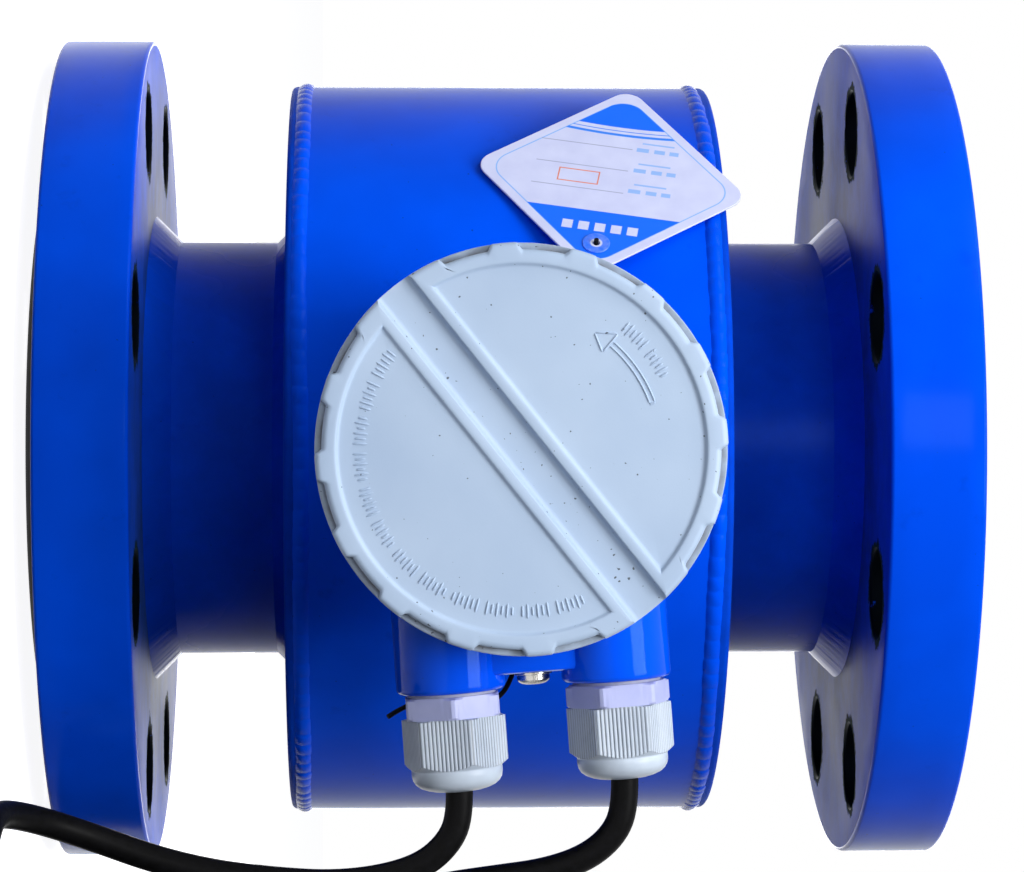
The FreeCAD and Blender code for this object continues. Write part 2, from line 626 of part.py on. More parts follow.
hex_turns = {"lower": (0, 41.5), "upper": (21.5, 30)}
seals = []
washers = []
inner_cables = []
for side, name in ((-1, "lower"), (1, "upper")):
    place = gland_frame(side)
    body_turn, nut_turn = hex_turns[name]
    make_gland_body(f"{name}_gland_body", place, body_turn)
    make_gland_nut(f"{name}_gland_nut", place, nut_turn)
    slip = ring("slip_bore / 2", "nut_thread / 2 - 0.3", f"{MOUTH} + slip_gap",
                f"{MOUTH} + slip_gap + slip_thick")
    piece(turned(slip), f"{name}_slip_ring", place)
    seal = turned(ring("cable_od / 2 + cable_fit", "seal_od / 2", f"{MOUTH} - seal_long", MOUTH))
    seal.Placement = place
    seals.append(seal)
    washer = turned(ring("gland_bore / 2 + 0.1", "gland_flat / 2 - 0.6", "boss_reach", HEX_LOW))
    washer.Placement = place
    washers.append(washer)
    sheath = cylinder("cable_od / 2", f"{EXIT} - sheath_end")
    piece(sheath, f"{name}_inner_cable", place * shift(z=size("sheath_end")))
piece(group(seals), "gland_seals")
piece(group(washers), "gland_washers")

# three bare-ended cores go from each sheath to the terminal block
block_face = "(block_wide / 2 - block_offset)"
wires = []
for side in (-1, 1):
    for step in (-1, 0, 1):
        at = shift(size(block_face), side * size("boss_pitch / 2") + step * size("1.3 * core_wire"),
                   size("gland_height"))
        wires.append(cylinder("core_wire / 2", f"sheath_end - {block_face}", at * along_gland))
piece(group(wires), "terminal_wires", box_frame)

# ---------------------------------------------------------------- round wires and cables

def rounded_path(points):
    """Straight runs joined by tangent arcs, each as large as its two runs allow."""
    points = [Vector(*point) for point in points]
    edges = []
    radii = []
    start = points[0]
    for before, corner, after in zip(points, points[1:], points[2:]):
        into = (corner - before).normalize()
        out = (after - corner).normalize()
        half_turn = into.getAngle(out) / 2
        step = 0.45 * min((corner - before).Length, (after - corner).Length)
        first, last = corner - into * step, corner + out * step
        radius = step / math.tan(half_turn)
        # the arc's own middle lies on the corner's bisector
        inward = (out - into).normalize()
        middle = corner + inward * (radius / math.cos(half_turn) - radius)
        edges.append(Part.LineSegment(start, first).toShape())
        edges.append(Part.Arc(first, middle, last).toShape())
        radii.append(radius)
        start = last
    edges.append(Part.LineSegment(start, points[-1]).toShape())
    return Part.Wire(edges), radii


def round_bar(points, diameter):
    """A round bar swept along a rounded path."""
    path, radii = rounded_path(points)
    heading = Vector(*points[1]) - Vector(*points[0])
    profile = Part.Wire(Part.makeCircle(diameter / 2, Vector(*points[0]), heading))
    swept = path.makePipeShell([profile], True, False)
    return swept, path, radii


def make_cord(label, points, diameter):
    swept, path, radii = round_bar(points, diameter)
    cord = doc.addObject("Part::Feature", label)
    cord.Shape = swept
    expected = math.pi * diameter ** 2 / 4 * path.Length
    print(f"{label}: {path.Length:.1f} mm long, radii {min(radii):.1f} to {max(radii):.1f} mm,"
          f" volume {swept.Volume / expected:.4f} of section times length")
    return piece(cord, label)


def in_box(x, y, z):
    """A point of the junction box's frame in the meter's frame."""
    return tuple(box_frame.multVec(Vector(x, y, z)))


def make_leads(label, routes):
    """Thin insulated wires laid along their routes, as separate solids of one sub-part."""
    leads = doc.addObject("Part::Feature", label)
    leads.Shape = Part.makeCompound([round_bar(route, size("lead_od"))[0] for route in routes])
    return piece(leads, label)


# wires turn up from the magnet system's side into the neck and so to the block
lead_rise = size("shoe_long / 2 + 4")
lead_round = size(f"{SHELL_BORE}") - 17
hole_reach = size(f"{NECK_BORE}") - 1.6
neck_low = size("shell_od / 2")
floor_low = size(NECK_TOP)
lead_top = size(f"{FLOOR_TOP} + 6")


def up_neck(x, y_hole):
    """From beside the coil through the neck to the block, at x beside the middle."""
    high = math.sqrt(hole_reach ** 2 - x ** 2)
    climb = floor_low - neck_low
    return [in_box(x, lead_rise - 4, neck_low - 10), in_box(x, high + 2, neck_low - 6),
            in_box(x, high - 0.6, neck_low - 1), in_box(x, high - 2.5, neck_low + 0.25 * climb),
            in_box(0.7 * x, 0.5 * (high + y_hole), neck_low + 0.6 * climb),
            in_box(0.6 * x, y_hole, floor_low + 1), in_box(0.5 * x, y_hole, lead_top - 4),
            in_box(0.5 * x - 4, y_hole, lead_top), in_box(size(block_face), y_hole, lead_top)]


def round_drum(start_angle, radius, rise, count):
    """Points round the tube, from start_angle towards the neck, in degrees from +X."""
    step = (270 - start_angle - 14 * (1 if start_angle < 270 else -1)) / count
    return [(radius * math.cos(math.radians(start_angle + step * index)),
             radius * math.sin(math.radians(start_angle + step * index)),
             mid_height + rise + 0.4 * (index % 2)) for index in range(1, count + 1)]


stem_end = size(f"{BUSH_TOP} + nut_high + 2")
side_start = size("stem_od / 2")
signal_routes = []
for angle, x, y_hole in ((180, -5, 5), (360, 5, 1.6)):
    side = math.cos(math.radians(angle))
    first = [(side * stem_end, 0, mid_height + side_start),
             (side * stem_end, 0, mid_height + side_start + 12),
             (side * (stem_end + 3), -3, mid_height + lead_rise - 6)]
    signal_routes.append(first + round_drum(angle, lead_round, lead_rise, 4) + up_neck(x, y_hole))
make_leads("signal_leads", signal_routes)

coil_top = size(COIL_TOP)
near_start = [(0, -coil_top, mid_height + 24), (0, -coil_top - 3.2, mid_height + 24)]
far_start = [(-8, coil_top, mid_height + 24), (-8, coil_top + 3.2, mid_height + 24),
             (-13, coil_top + 3.4, mid_height + 30), (-22, coil_top - 1, mid_height + lead_rise + 6)]
near_route = near_start + up_neck(0, -1.8)[2:]
far_route = far_start + round_drum(112, lead_round + 5, lead_rise + 6, 7) + up_neck(-8, -5.2)[1:]
make_leads("coil_leads", [near_route, far_route])

# ---------------------------------------------------------------- the free cables

cable = size("cable_od")
on_floor = cable / 2
# each route starts at the gland's mouth; its points are chosen by hand
STRAIGHT_OUT = 7.5


def leaving(side):
    """The gland's mouth and the point straight out of it that a route starts with."""
    frame = gland_frame(side)
    return [tuple(frame.multVec(Vector(0, 0, size(EXIT) + reach))) for reach in (0, STRAIGHT_OUT)]


lower_route = leaving(-1) + [
    (97.7, -147.7, 107.4), (103.6, -147.7, 101.2),
    (106.8, -147.6, 91.6), (107.2, -147.4, 79.5), (105.3, -147.2, 66.0), (101.4, -147.2, 51.5),
    (96.4, -147.6, 37.6), (91.6, -149.4, 24.4), (88.0, -155.5, 12.6), (85.5, -166.0, 5.2),
    (84.6, -179.0, on_floor), (87.6, -192.5, on_floor), (95.4, -204.0, on_floor),
    (107.0, -212.0, on_floor), (121.0, -216.4, on_floor), (135.0, -217.7, on_floor)]
upper_route = leaving(1) + [
    (95.0, -147.6, 146.7), (100.7, -147.3, 140.4),
    (103.6, -146.8, 131.0), (105.0, -145.8, 119.0), (106.8, -143.6, 106.0),
    (109.6, -139.4, 92.6), (113.2, -133.4, 79.4), (117.0, -126.4, 65.6), (121.0, -119.6, 51.4),
    (125.6, -113.2, 37.4), (131.2, -107.4, 24.4), (138.6, -102.2, 13.4), (148.2, -98.0, 6.2),
    (160.0, -95.4, on_floor)]
coil_centres = {"lower": (158.0, -170.0), "upper": (178.0, -47.4)}


def make_cable_coil(label, centre):
    """The outer shape of the wound cable: a flat ring lying on the floor."""
    half_build = "coil_columns * (cable_od + coil_air) / 2"
    wound = ring(f"coil_middle / 2 - {half_build}", f"coil_middle / 2 + {half_build}",
                 "0", "coil_layers * cable_od")
    return piece(turned(wound), label, shift(*centre, 0))


def on_coil(centre, angle, height, reach=None):
    radius = size("coil_middle / 2") if reach is None else reach
    return (centre[0] + radius * math.cos(math.radians(angle)),
            centre[1] + radius * math.sin(math.radians(angle)), height)


coil_high = size("coil_layers * cable_od")
for name, route in (("lower", lower_route), ("upper", upper_route)):
    centre = coil_centres[name]
    make_cord(f"{name}_cable", route, cable)
    make_cable_coil(f"{name}_cable_coil", centre)
    # the end of the cable lies on the coil, and its cores come out of the sheath there
    tip_height = coil_high + on_floor
    tail = [on_coil(centre, angle, tip_height) for angle in (200, 222, 244, 266)]
    make_cord(f"{name}_cable_end", tail, cable)
    out = (Vector(*tail[-1]) - Vector(*tail[-2])).normalize()
    across = Vector(0, 0, 1).cross(out)
    cores = []
    for step in (-1, 0, 1):
        low = coil_high + size("core_wire / 2") + 0.05
        root = Vector(*tail[-1]) + across * (1.25 * size("core_wire") * step)
        root.z = tip_height
        route_out = [root, root + out * 5,
                     Vector(*(root + out * 11 + across * step * 2.2)[:2], low + 1.2),
                     Vector(*(root + out * size("bare_long") + across * step * 4.6)[:2], low + 0.3)]
        core = round_bar([tuple(spot) for spot in route_out], size("core_wire"))[0]
        direction = (route_out[-1] - route_out[-2]).normalize()
        direction.z = 0
        ferrule = Part.makeCylinder(size("ferrule_od / 2"), size("ferrule_long"),
                                    route_out[-1], direction)
        cores += [core, ferrule]
    bare = doc.addObject("Part::Feature", f"{name}_cable_cores")
    bare.Shape = Part.makeCompound(cores)
    piece(bare, f"{name}_cable_cores")

# ---------------------------------------------------------------- hang tag and string

lean = math.radians(size("tag_lean"))
outwards = Vector(-math.sin(lean), -math.cos(lean), 0)
upwards = Vector(0, 0, 1)
aside = upwards.cross(outwards)
tilt = Rotation(outwards, -size("tag_tilt"))
corner_way = tilt.multVec(upwards)
hole_way = tilt.multVec(aside)
tag_centre = outwards * size("shell_od / 2 + bead_high + tag_rest")
tag_centre.z = size(MIDDLE + " + tag_up")
side_way = (corner_way + hole_way).normalize()
tag_frame = Placement(tag_centre, Rotation(side_way, outwards.cross(side_way), outwards, "ZXY"))

half = "tag_side / 2"
card_blank = solid("Box", shift(-size(half), -size(half), 0), Length="tag_side",
                   Width="tag_side", Height="tag_thick")
card = doc.addObject("Part::Fillet", "Corners")
doc.recompute()
card.Base = card_blank
uprights = [index for index, edge in enumerate(card_blank.Shape.Edges, start=1)
            if abs(edge.tangentAt(edge.FirstParameter).z) > 0.9]
card.Edges = [(index, size("tag_corner"), size("tag_corner")) for index in uprights]
# the hole lies near the corner between the card's own x and its y
hole_spot = tag_frame.inverse().multVec(tag_centre + hole_way * size("tag_hole_reach"))
tag_hole = cylinder("tag_hole / 2", "tag_thick", shift(hole_spot.x, hole_spot.y, 0))
piece(cut(card, tag_hole), "hang_tag", tag_frame)
eyelet = turned([
    ("string_od / 2 + 0.3", "-eyelet_lip"), ("eyelet_od / 2", "-eyelet_lip"),
    ("eyelet_od / 2", "0"), ("tag_hole / 2 - part_fit", "0"),
    ("tag_hole / 2 - part_fit", "tag_thick"), ("eyelet_od / 2", "tag_thick"),
    ("eyelet_od / 2", "tag_thick + eyelet_lip"),
    ("string_od / 2 + 0.3", "tag_thick + eyelet_lip")])
piece(eyelet, "tag_eyelet", tag_frame * shift(hole_spot.x, hole_spot.y, 0))

threaded = tag_frame * shift(hole_spot.x, hole_spot.y, 0)
# the string comes through the eyelet, turns behind the card and goes off to the neck
behind = threaded.Base - outwards * 1.2
turned_down = behind + (hole_way - outwards) * 2.4
string_start = [threaded.Base + outwards * 2.1, behind, turned_down, turned_down + hole_way * 5.5]
string_route = [tuple(point) for point in string_start] + [
    (-36.5, -100.6, 146.5), (-27.0, -106.6, 150.6),
    (-15.0, -110.4, 153.6), (-1.0, -112.4, 153.0), (13.0, -113.4, 149.4),
    (25.5, -114.6, 143.0), (36.0, -117.6, 134.6), (45.4, -122.6, 127.6),
    (53.6, -129.0, 123.6), (59.8, -133.4, 120.6), (62.2, -134.0, 114.0),
    (61.2, -133.6, 106.0), (60.6, -134.6, 98.6), (64.2, -137.4, 93.0)]
make_cord("tag_string", string_route, size("string_od"))

# ---------------------------------------------------------------- check and export

doc.recompute()
for thing in doc.Objects:
    if "Invalid" in thing.State or "Error" in thing.State:
        raise RuntimeError(f"{thing.Name} ({thing.Label}) did not build: {thing.State}")
for thing in pieces:
    if thing.Shape.isNull() or not thing.Shape.isValid() or not thing.Shape.Solids:
        raise RuntimeError(f"{thing.Label} is not a valid solid")

os.makedirs("parts", exist_ok=True)
for thing in pieces:
    thing.Shape.exportStep(f"parts/{thing.Label}.step")
print(f"{len(pieces)} sub-parts written")
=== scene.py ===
"""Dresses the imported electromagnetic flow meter: enamelled steel, moulded plastics, cables
and a hang tag, laid over the solids that the frame gives."""
import math

import bmesh
import bpy
import numpy as np
from mathutils import Matrix, Vector


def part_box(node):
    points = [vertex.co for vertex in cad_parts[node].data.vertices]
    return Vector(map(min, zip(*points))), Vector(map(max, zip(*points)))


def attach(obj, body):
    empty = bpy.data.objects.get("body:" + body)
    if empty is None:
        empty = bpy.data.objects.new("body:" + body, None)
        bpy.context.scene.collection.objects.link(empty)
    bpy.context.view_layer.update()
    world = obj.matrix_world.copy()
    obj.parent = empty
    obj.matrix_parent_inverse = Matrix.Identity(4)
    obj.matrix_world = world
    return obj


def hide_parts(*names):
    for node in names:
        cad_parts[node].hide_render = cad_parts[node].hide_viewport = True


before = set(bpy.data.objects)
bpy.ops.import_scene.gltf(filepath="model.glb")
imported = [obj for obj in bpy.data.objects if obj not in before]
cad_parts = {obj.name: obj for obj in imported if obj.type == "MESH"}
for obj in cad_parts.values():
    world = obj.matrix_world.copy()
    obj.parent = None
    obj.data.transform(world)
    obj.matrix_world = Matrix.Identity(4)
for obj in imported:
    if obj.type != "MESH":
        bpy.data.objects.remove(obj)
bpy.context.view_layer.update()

MM = 0.001
TAU = 2 * math.pi

# ---- sizes, in mm


def turned_size(node):
    """Radius, foot and top of a node that is turned about the tube's axis."""
    low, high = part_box(node)
    return high[0] / MM, low[2] / MM, high[2] / MM


FLANGE_R, _, LOWER_BACK = turned_size("lower_flange")
_, UPPER_BACK, _ = turned_size("upper_flange")
SHELL_R, SHELL_FOOT, SHELL_TOP = turned_size("housing_shell")
TUBE_R, TUBE_FOOT, TUBE_TOP = turned_size("measuring_tube")
_, FOOT, TOP = turned_size("liner")
MIDDLE = (FOOT + TOP) / 2
# the liner's flare covers the raised face, which stands proud of the drilled plate
FLARE, RAISED, RAISED_R = 3.0, 2.0, 80.0
BOLTS, BOLT_R, HOLE_R, CHAMFER, BOLT_TURN = 8, 92.5, 11.5, 0.5, math.radians(23.7)
TUBE_WALL, SHELL_WALL, FIT, GRIME_WIDE = 3.6, 3.0, 0.2, 4.0

cover_low, cover_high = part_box("cover")
COVER_R = (cover_high[2] - cover_low[2]) / 2 / MM
COVER_TOP, COVER_FOOT = -cover_low[1] / MM, -cover_high[1] / MM
# the box is turned a little about the neck, and the cover's slot further, as it was tightened
BOX_TWIST, COVER_TURN = math.radians(4.2), math.radians(34.5)
GLAND_HEIGHT, GLAND_PITCH, BOSS_REACH, WEB_REACH = 147.7, 39.3, 56.0, 52.6

# ---- points and frames


def grid(*coordinates):
    """Points from their coordinates, each a number or an array; they stretch to one shape."""
    return np.stack(np.broadcast_arrays(*coordinates), axis=-1).astype(float)


def polar(radius, angle, *others):
    """Points at a radius and an angle about Z, with their height and mark where given."""
    return grid(radius * np.cos(angle), radius * np.sin(angle), *others)


def unit(vectors):
    """A vector, or each of a row of them, over its own length."""
    return np.asarray(vectors, float) / np.linalg.norm(vectors, axis=-1, keepdims=True)


def eased(share):
    """A share held between 0 and 1 with a soft start and end: 3 x squared less 2 x cubed."""
    share = np.clip(share, 0, 1)
    return share * share * (3 - 2 * share)


def turned_about(axis, angle):
    """A 3 by 3 turn about X, Y or Z, the right-hand way."""
    return np.array(Matrix.Rotation(angle, 3, axis))


def placed(points, turn=np.eye(3), shift=(0, 0, 0)):
    """Points turned and then shifted; a fourth column, if there is one, stays."""
    moved = points[..., :3] @ np.asarray(turn).T + np.asarray(shift, float)
    return np.concatenate([moved, points[..., 3:]], axis=-1)


BOX_AXES = turned_about("X", math.pi / 2) @ turned_about("Z", BOX_TWIST)


def in_box(points):
    """Junction box frame (x to the glands, y up the tube, z out of it) to the meter's frame."""
    return placed(points, BOX_AXES, (0, 0, MIDDLE))


def in_cover(points):
    """The cover's frame, with x along its slot and z = 0 at its top, to the meter's frame."""
    return in_box(placed(points, turned_about("Z", COVER_TURN), (0, 0, COVER_TOP)))


def in_gland(points, side):
    """Gland frame (z along the cable, 0 at the boss's end) to the meter's frame; side is
    -1 for the lower gland and 1 for the upper."""
    shift = (BOSS_REACH, side * GLAND_PITCH / 2, GLAND_HEIGHT)
    return in_box(placed(points, turned_about("Y", math.pi / 2), shift))


# ---- outlines and surfaces


def lathe(profile, turns=192, start=0.0):
    """A surface of revolution about Z: each (radius, height) row swept round in turns steps.
    A third number in a row is its mark."""
    radius, *others = np.asarray(profile, float).T[..., None]
    return polar(radius, start + np.linspace(0, TAU, turns + 1), *others)


def rounded(outline, radius, steps=4):
    """A closed outline of (across, along) points whose corners become arcs of the radius.

    Each corner point may carry its own radius as a third number. The arc starts and
    ends at radius times the tangent of half the turn before and after the corner.
    """
    points = [np.array(p[:2], float) for p in outline]
    radii = [p[2] if len(p) > 2 else radius for p in outline]
    made = []
    for before, here, after, size in zip(points[-1:] + points, points, points[1:] + points, radii):
        if size == 0:
            made.append(here[None])
            continue
        into, out = unit(here - before), unit(after - here)
        half = math.acos(np.clip(into @ out, -1, 1)) / 2
        bisector, forward = unit(out - into), unit(into + out)
        centre = here + bisector * size / math.cos(half)
        swing = np.linspace(-half, half, steps + 1)[:, None]
        made.append(centre + size * (np.sin(swing) * forward - np.cos(swing) * bisector))
    return np.concatenate(made + [made[0][:1]])


def denser(line, steps, longest=0.0):
    """A line of points whose stretches above a length are cut into so many steps."""
    made = [np.linspace(here, after, steps if np.linalg.norm(after - here) > longest else 1,
                        endpoint=False) for here, after in zip(line[:-1], line[1:])]
    return np.concatenate(made + [line[-1:]])


# ---- pieces


def linked(name, data):
    """An object of a mesh, curve, light or camera, put into the scene."""
    thing = bpy.data.objects.new(name, data)
    bpy.context.scene.collection.objects.link(thing)
    return thing


def make_piece(name, patches, materials, replaces, body="root", sharp=32, kinds=None):
    """One piece from patches, each a grid of points in mm; kinds has the number of each
    patch's material, where it isn't the first.

    A patch with a fourth value a point carries it as the attribute "mark". Edges that
    meet are merged, faces point outwards and edges sharper than the angle stay crisp.
    """
    points, quads, marks, count = [], [], [], 0
    for patch in patches:
        rows, cols = patch.shape[:2]
        flat = patch.reshape(rows * cols, -1)
        points.append(flat[:, :3] * MM)
        marks.append(flat[:, 3] if flat.shape[1] > 3 else np.zeros(len(flat)))
        start = count + np.arange(rows * cols).reshape(rows, cols)[:-1, :-1].ravel()
        quads.append(np.stack([start, start + 1, start + cols + 1, start + cols], axis=1))
        count += len(flat)
    kinds = np.repeat(kinds or [0] * len(patches), [len(each) for each in quads])
    points, quads = np.concatenate(points), np.concatenate(quads)
    mesh = bpy.data.meshes.new(name)
    mesh.vertices.add(len(points))
    mesh.vertices.foreach_set("co", points.astype(np.float32).ravel())
    mesh.loops.add(quads.size)
    mesh.loops.foreach_set("vertex_index", quads.astype(np.int32).ravel())
    mesh.polygons.add(len(quads))
    mesh.polygons.foreach_set("loop_start", np.arange(0, quads.size, 4, dtype=np.int32))
    mesh.polygons.foreach_set("material_index", kinds.astype(np.int32))
    mesh.update(calc_edges=True)
    mark = mesh.attributes.new("mark", "FLOAT", "POINT")
    mark.data.foreach_set("value", np.concatenate(marks).astype(np.float32))
    work = bmesh.new()
    work.from_mesh(mesh)
    bmesh.ops.remove_doubles(work, verts=work.verts, dist=0.002 * MM)
    bmesh.ops.dissolve_degenerate(work, edges=work.edges, dist=0.001 * MM)
    bmesh.ops.recalc_face_normals(work, faces=work.faces)
    work.to_mesh(mesh)
    work.free()
    mesh.shade_smooth()
    mesh.set_sharp_from_angle(angle=math.radians(sharp))
    for material in materials:
        mesh.materials.append(material)
    thing = linked(name, mesh)
    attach(thing, body)
    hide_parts(*replaces)


def spline_piece(name, points, diameter, material):
    """A cord as a NURBS curve: its control points, in metres, and a round bevel."""
    curve = bpy.data.curves.new(name, "CURVE")
    curve.dimensions = "3D"
    spline = curve.splines.new("NURBS")
    spline.points.add(len(points) - 1)
    for spot, point in zip(spline.points, points):
        spot.co = (*point, 1.0)
    spline.order_u = 3
    spline.use_endpoint_u = True
    spline.resolution_u = 6
    curve.bevel_depth = diameter / 2
    curve.bevel_resolution = 5
    curve.use_fill_caps = True
    curve.materials.append(material)
    thing = linked(name, curve)
    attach(thing, "root")
    return thing


# ---- nodes and materials


def linear(text):
    """An sRGB hex value as the linear colour that the shaders take."""
    parts = np.array([int(text[i:i + 2], 16) for i in (1, 3, 5)]) / 255
    straight = np.where(parts <= 0.04045, parts / 12.92, ((parts + 0.055) / 1.055) ** 2.4)
    return (*straight, 1.0)


def node_adder(owner):
    """Empties the node tree of a material or the world, and gives what adds a node to it."""
    owner.use_nodes = True
    tree = owner.node_tree
    tree.nodes.clear()

    def add(kind, inputs=(), out=0, **settings):
        """Adds a node of a kind, sets its properties and fills or links its inputs: a dict
        by name or number, or else in their order; text is a colour. Gives one output."""
        node = tree.nodes.new("ShaderNode" + kind)
        for name, value in settings.items():
            setattr(node, name, value)
        inputs = inputs if isinstance(inputs, dict) else dict(enumerate(inputs))
        for name, value in inputs.items():
            if isinstance(value, bpy.types.NodeSocket):
                tree.links.new(value, node.inputs[name])
            else:
                node.inputs[name].default_value = linear(value) if isinstance(value, str) else value
        return node.outputs[out] if node.outputs else None

    return add


def make_material(name, surface, *values, **named):
    """A material whose surface is the shader that surface(add, place, ...) puts together;
    place is the point in the object's own coordinates."""
    material = bpy.data.materials.new(name)
    add = node_adder(material)
    place = add("TexCoord", out="Object")
    add("OutputMaterial", {"Surface": surface(add, place, *values, **named)})
    return material


def cloudy(add, place, cell_mm, low=0.3, high=0.7, to_low=0.0, to_high=1.0, detail=2, rough=0.5):
    """Noise with cells so many millimetres across, its values from low to high spread over
    another range and held at the ends."""
    noise = add("TexNoise", {"Vector": place, "Scale": 1 / (cell_mm * MM), "Detail": detail,
                             "Roughness": rough})
    return add("MapRange", (noise, low, high, to_low, to_high))


def relief(add, place, cell_mm, depth_mm, strength=0.5, detail=2, rough=0.5):
    """The normal of a surface with noise so many millimetres across and deep."""
    height = cloudy(add, place, cell_mm, 0, 1, detail=detail, rough=rough)
    return add("Bump", {"Height": height, "Distance": depth_mm * MM, "Strength": strength})


def layered(add, colour, *layers):
    """A colour with others laid over it in turn, each given as its share and its colour."""
    for share, over in layers:
        colour = add("Mix", {"Factor": share, 6: colour, 7: over}, out=2, data_type="RGBA")
    return colour


def worked(add, value, *steps):
    """A value taken through sums in turn, each an operation and what else it takes."""
    for operation, *others in steps:
        value = add("Math", (value, *others), operation=operation)
    return value


def gloss_enamel(add, place, dust_and_shade=0.0, specular=0.04, polish=0.0):
    """Blue gloss enamel, sprayed: an even deep colour with hazy patches, a slight orange peel
    that breaks up reflections, fine dark specks and black grime where the marks are high.
    The sheen is a thin bloom of dust that greys it at a grazing view. dust_and_shade dulls it
    as dust does and paints in a dark film of shade that thickens towards the tube, where flange
    and drum shade it; polish makes it smoother, as on the handled box."""
    mark = add("Attribute", out="Fac", attribute_name="mark")
    ragged = worked(add, mark, ("ADD", cloudy(add, place, 4, 0.3, 0.7, -0.36, 0.4, 5, 0.7)))
    grime = add("MapRange", (ragged, 0.45, 0.6))
    layers = [(cloudy(add, place, 45, 0.35, 0.7, detail=3), "#0052F0"),
              (cloudy(add, place, 9, 0.62, 0.8, 0, 0.35, 5, 0.65), "#002CA6")]
    # painted shade: a dark navy film, thickest near the tube, darkens the recess between flange and
    # drum
    if dust_and_shade:
        flat = add("Mapping", {"Vector": place, "Scale": (1, 1, 0)})
        from_axis = add("VectorMath", (flat,), out="Value", operation="LENGTH")
        near = add("MapRange", (from_axis, 0.105, 0.060, 0.45, 1.0))
        uneven = cloudy(add, place, 14, 0.3, 0.6, 0.5, 1.0, 6, 0.65)
        layers.append((worked(add, near, ("MULTIPLY", uneven), ("MULTIPLY", dust_and_shade)), "#0B1024"))
    layers += [(grime, "#05070C"), (cloudy(add, place, 1.1, 0.80, 0.83, 0, 0.8, 1), "#101428")]
    haze = cloudy(add, place, 45, 0.3, 0.75, 0.14 + 0.35 * dust_and_shade - polish,
                  0.24 + 0.35 * dust_and_shade - 1.6 * polish, 3)
    rough = worked(add, grime, ("MULTIPLY", 0.3), ("ADD", haze))
    # painted reflection colour: the specular tint turns every reflection pale blue, standing in for a
    # bluish window light
    return add("BsdfPrincipled", {
        "Base Color": layered(add, "#0046D8", *layers), "Roughness": rough, "IOR": 1.5,
        "Specular IOR Level": specular, "Specular Tint": "#93C8F4",
        "Sheen Weight": 0.09, "Sheen Roughness": 0.35, "Sheen Tint": "#74B0B4",
        "Normal": relief(add, place, 2.2, 0.02 - 0.15 * polish, 0.7)})


def moulded_cover(add, place):
    """Light grey ABS, moulded with a fine matt grain: soft even shading, tiny dark specks of
    ingrained grime and a brownish grey painted shade where the marks are high, in the grip notches."""
    mark = add("Attribute", out="Fac", attribute_name="mark")
    ragged = cloudy(add, place, 4, 0.25, 0.7, 0.2975, 0.85, 4)
    colour = layered(add, "#9DB1CB", (cloudy(add, place, 28, detail=3), "#A7BAD2"),
                     # painted shade: brownish grey where the mark is high, in the grip notches
                     (worked(add, mark, ("MULTIPLY", ragged)), "#514E4E"),
                     (cloudy(add, place, 0.9, 0.815, 0.83, 0, 0.85, 0), "#2A2C33"))
    return add("BsdfPrincipled", {
        "Base Color": colour, "Roughness": 0.48, "IOR": 1.46, "Specular IOR Level": 0.35,
        "Normal": relief(add, place, 0.5, 0.02)})


def moulded_nylon(add, place, low, high, roughness):
    """Unfilled nylon as moulded for cable glands: milky, with a soft sheen and faint flow marks;
    where the marks are high, in the nut's rib grooves, a grey painted shade."""
    mark = add("Attribute", out="Fac", attribute_name="mark")
    colour = layered(add, low, (cloudy(add, place, 7, detail=3), high),
                     # painted shade: grey in the rib grooves, where the mark is high
                     (worked(add, mark, ("MULTIPLY", 0.65)), "#565860"))
    return add("BsdfPrincipled", {
        "Base Color": colour, "Roughness": roughness, "IOR": 1.53, "Specular IOR Level": 0.25,
        "Subsurface Weight": 0.15, "Subsurface Radius": (0.002, 0.002, 0.002),
        "Subsurface Scale": 0.5, "Normal": relief(add, place, 0.8, 0.01)})


def worked_finish(add, place, low, high, roughness, grain_mm, depth_mm=0.01,
                  metallic=0.0, stretch=1.0, specular=0.5):
    """A plain worked surface in two near shades: rubber, sheath, bare or turned metal."""
    place = add("Mapping", {"Vector": place, "Scale": (1, 1, stretch)})
    colour = layered(add, low, (cloudy(add, place, grain_mm, detail=4, rough=0.6), high))
    return add("BsdfPrincipled", {
        "Base Color": colour, "Metallic": metallic, "Specular IOR Level": specular,
        "Roughness": cloudy(add, place, grain_mm, 0.3, 0.7, roughness - 0.06,
                            roughness + 0.06, 4, 0.6),
        "Normal": relief(add, place, grain_mm, depth_mm, 0.6, 4, 0.6)})


def plain(name, *values, **named):
    """A material of a plain worked finish."""
    return make_material(name, worked_finish, *values, **named)


blue_enamel = make_material("blue gloss enamel on steel", gloss_enamel)
# on the smooth casting the enamel shines and mirrors the lamps
bright_enamel = make_material("blue gloss enamel on cast metal", gloss_enamel, 0.0, 0.1, 0.115)
# plates beside the tube: dulled by workshop dust and darkened towards it by painted shade; the tube
# less
dusty_shaded_enamel = make_material("dusty blue gloss enamel", gloss_enamel, 0.8, 0.02)
shaded_enamel = make_material("hazy blue gloss enamel with painted shade", gloss_enamel, 0.27, 0.05)
cover_abs = make_material("light grey moulded ABS", moulded_cover)
# the bodies have kept their lilac white; the handled nuts are greyer and shine more
gland_nylon = make_material("lilac white nylon", moulded_nylon, "#A4ABD6", "#B0B6DE", 0.42)
nut_nylon = make_material("grey white nylon", moulded_nylon, "#B0BCCB", "#BCC8D6", 0.34)
# extruded: satin black with hardly a highlight
sheath_pvc = plain("black PVC cable sheath", "#060606", "#0C0C0E", 0.45, 1.5, 0.02, specular=0.04)
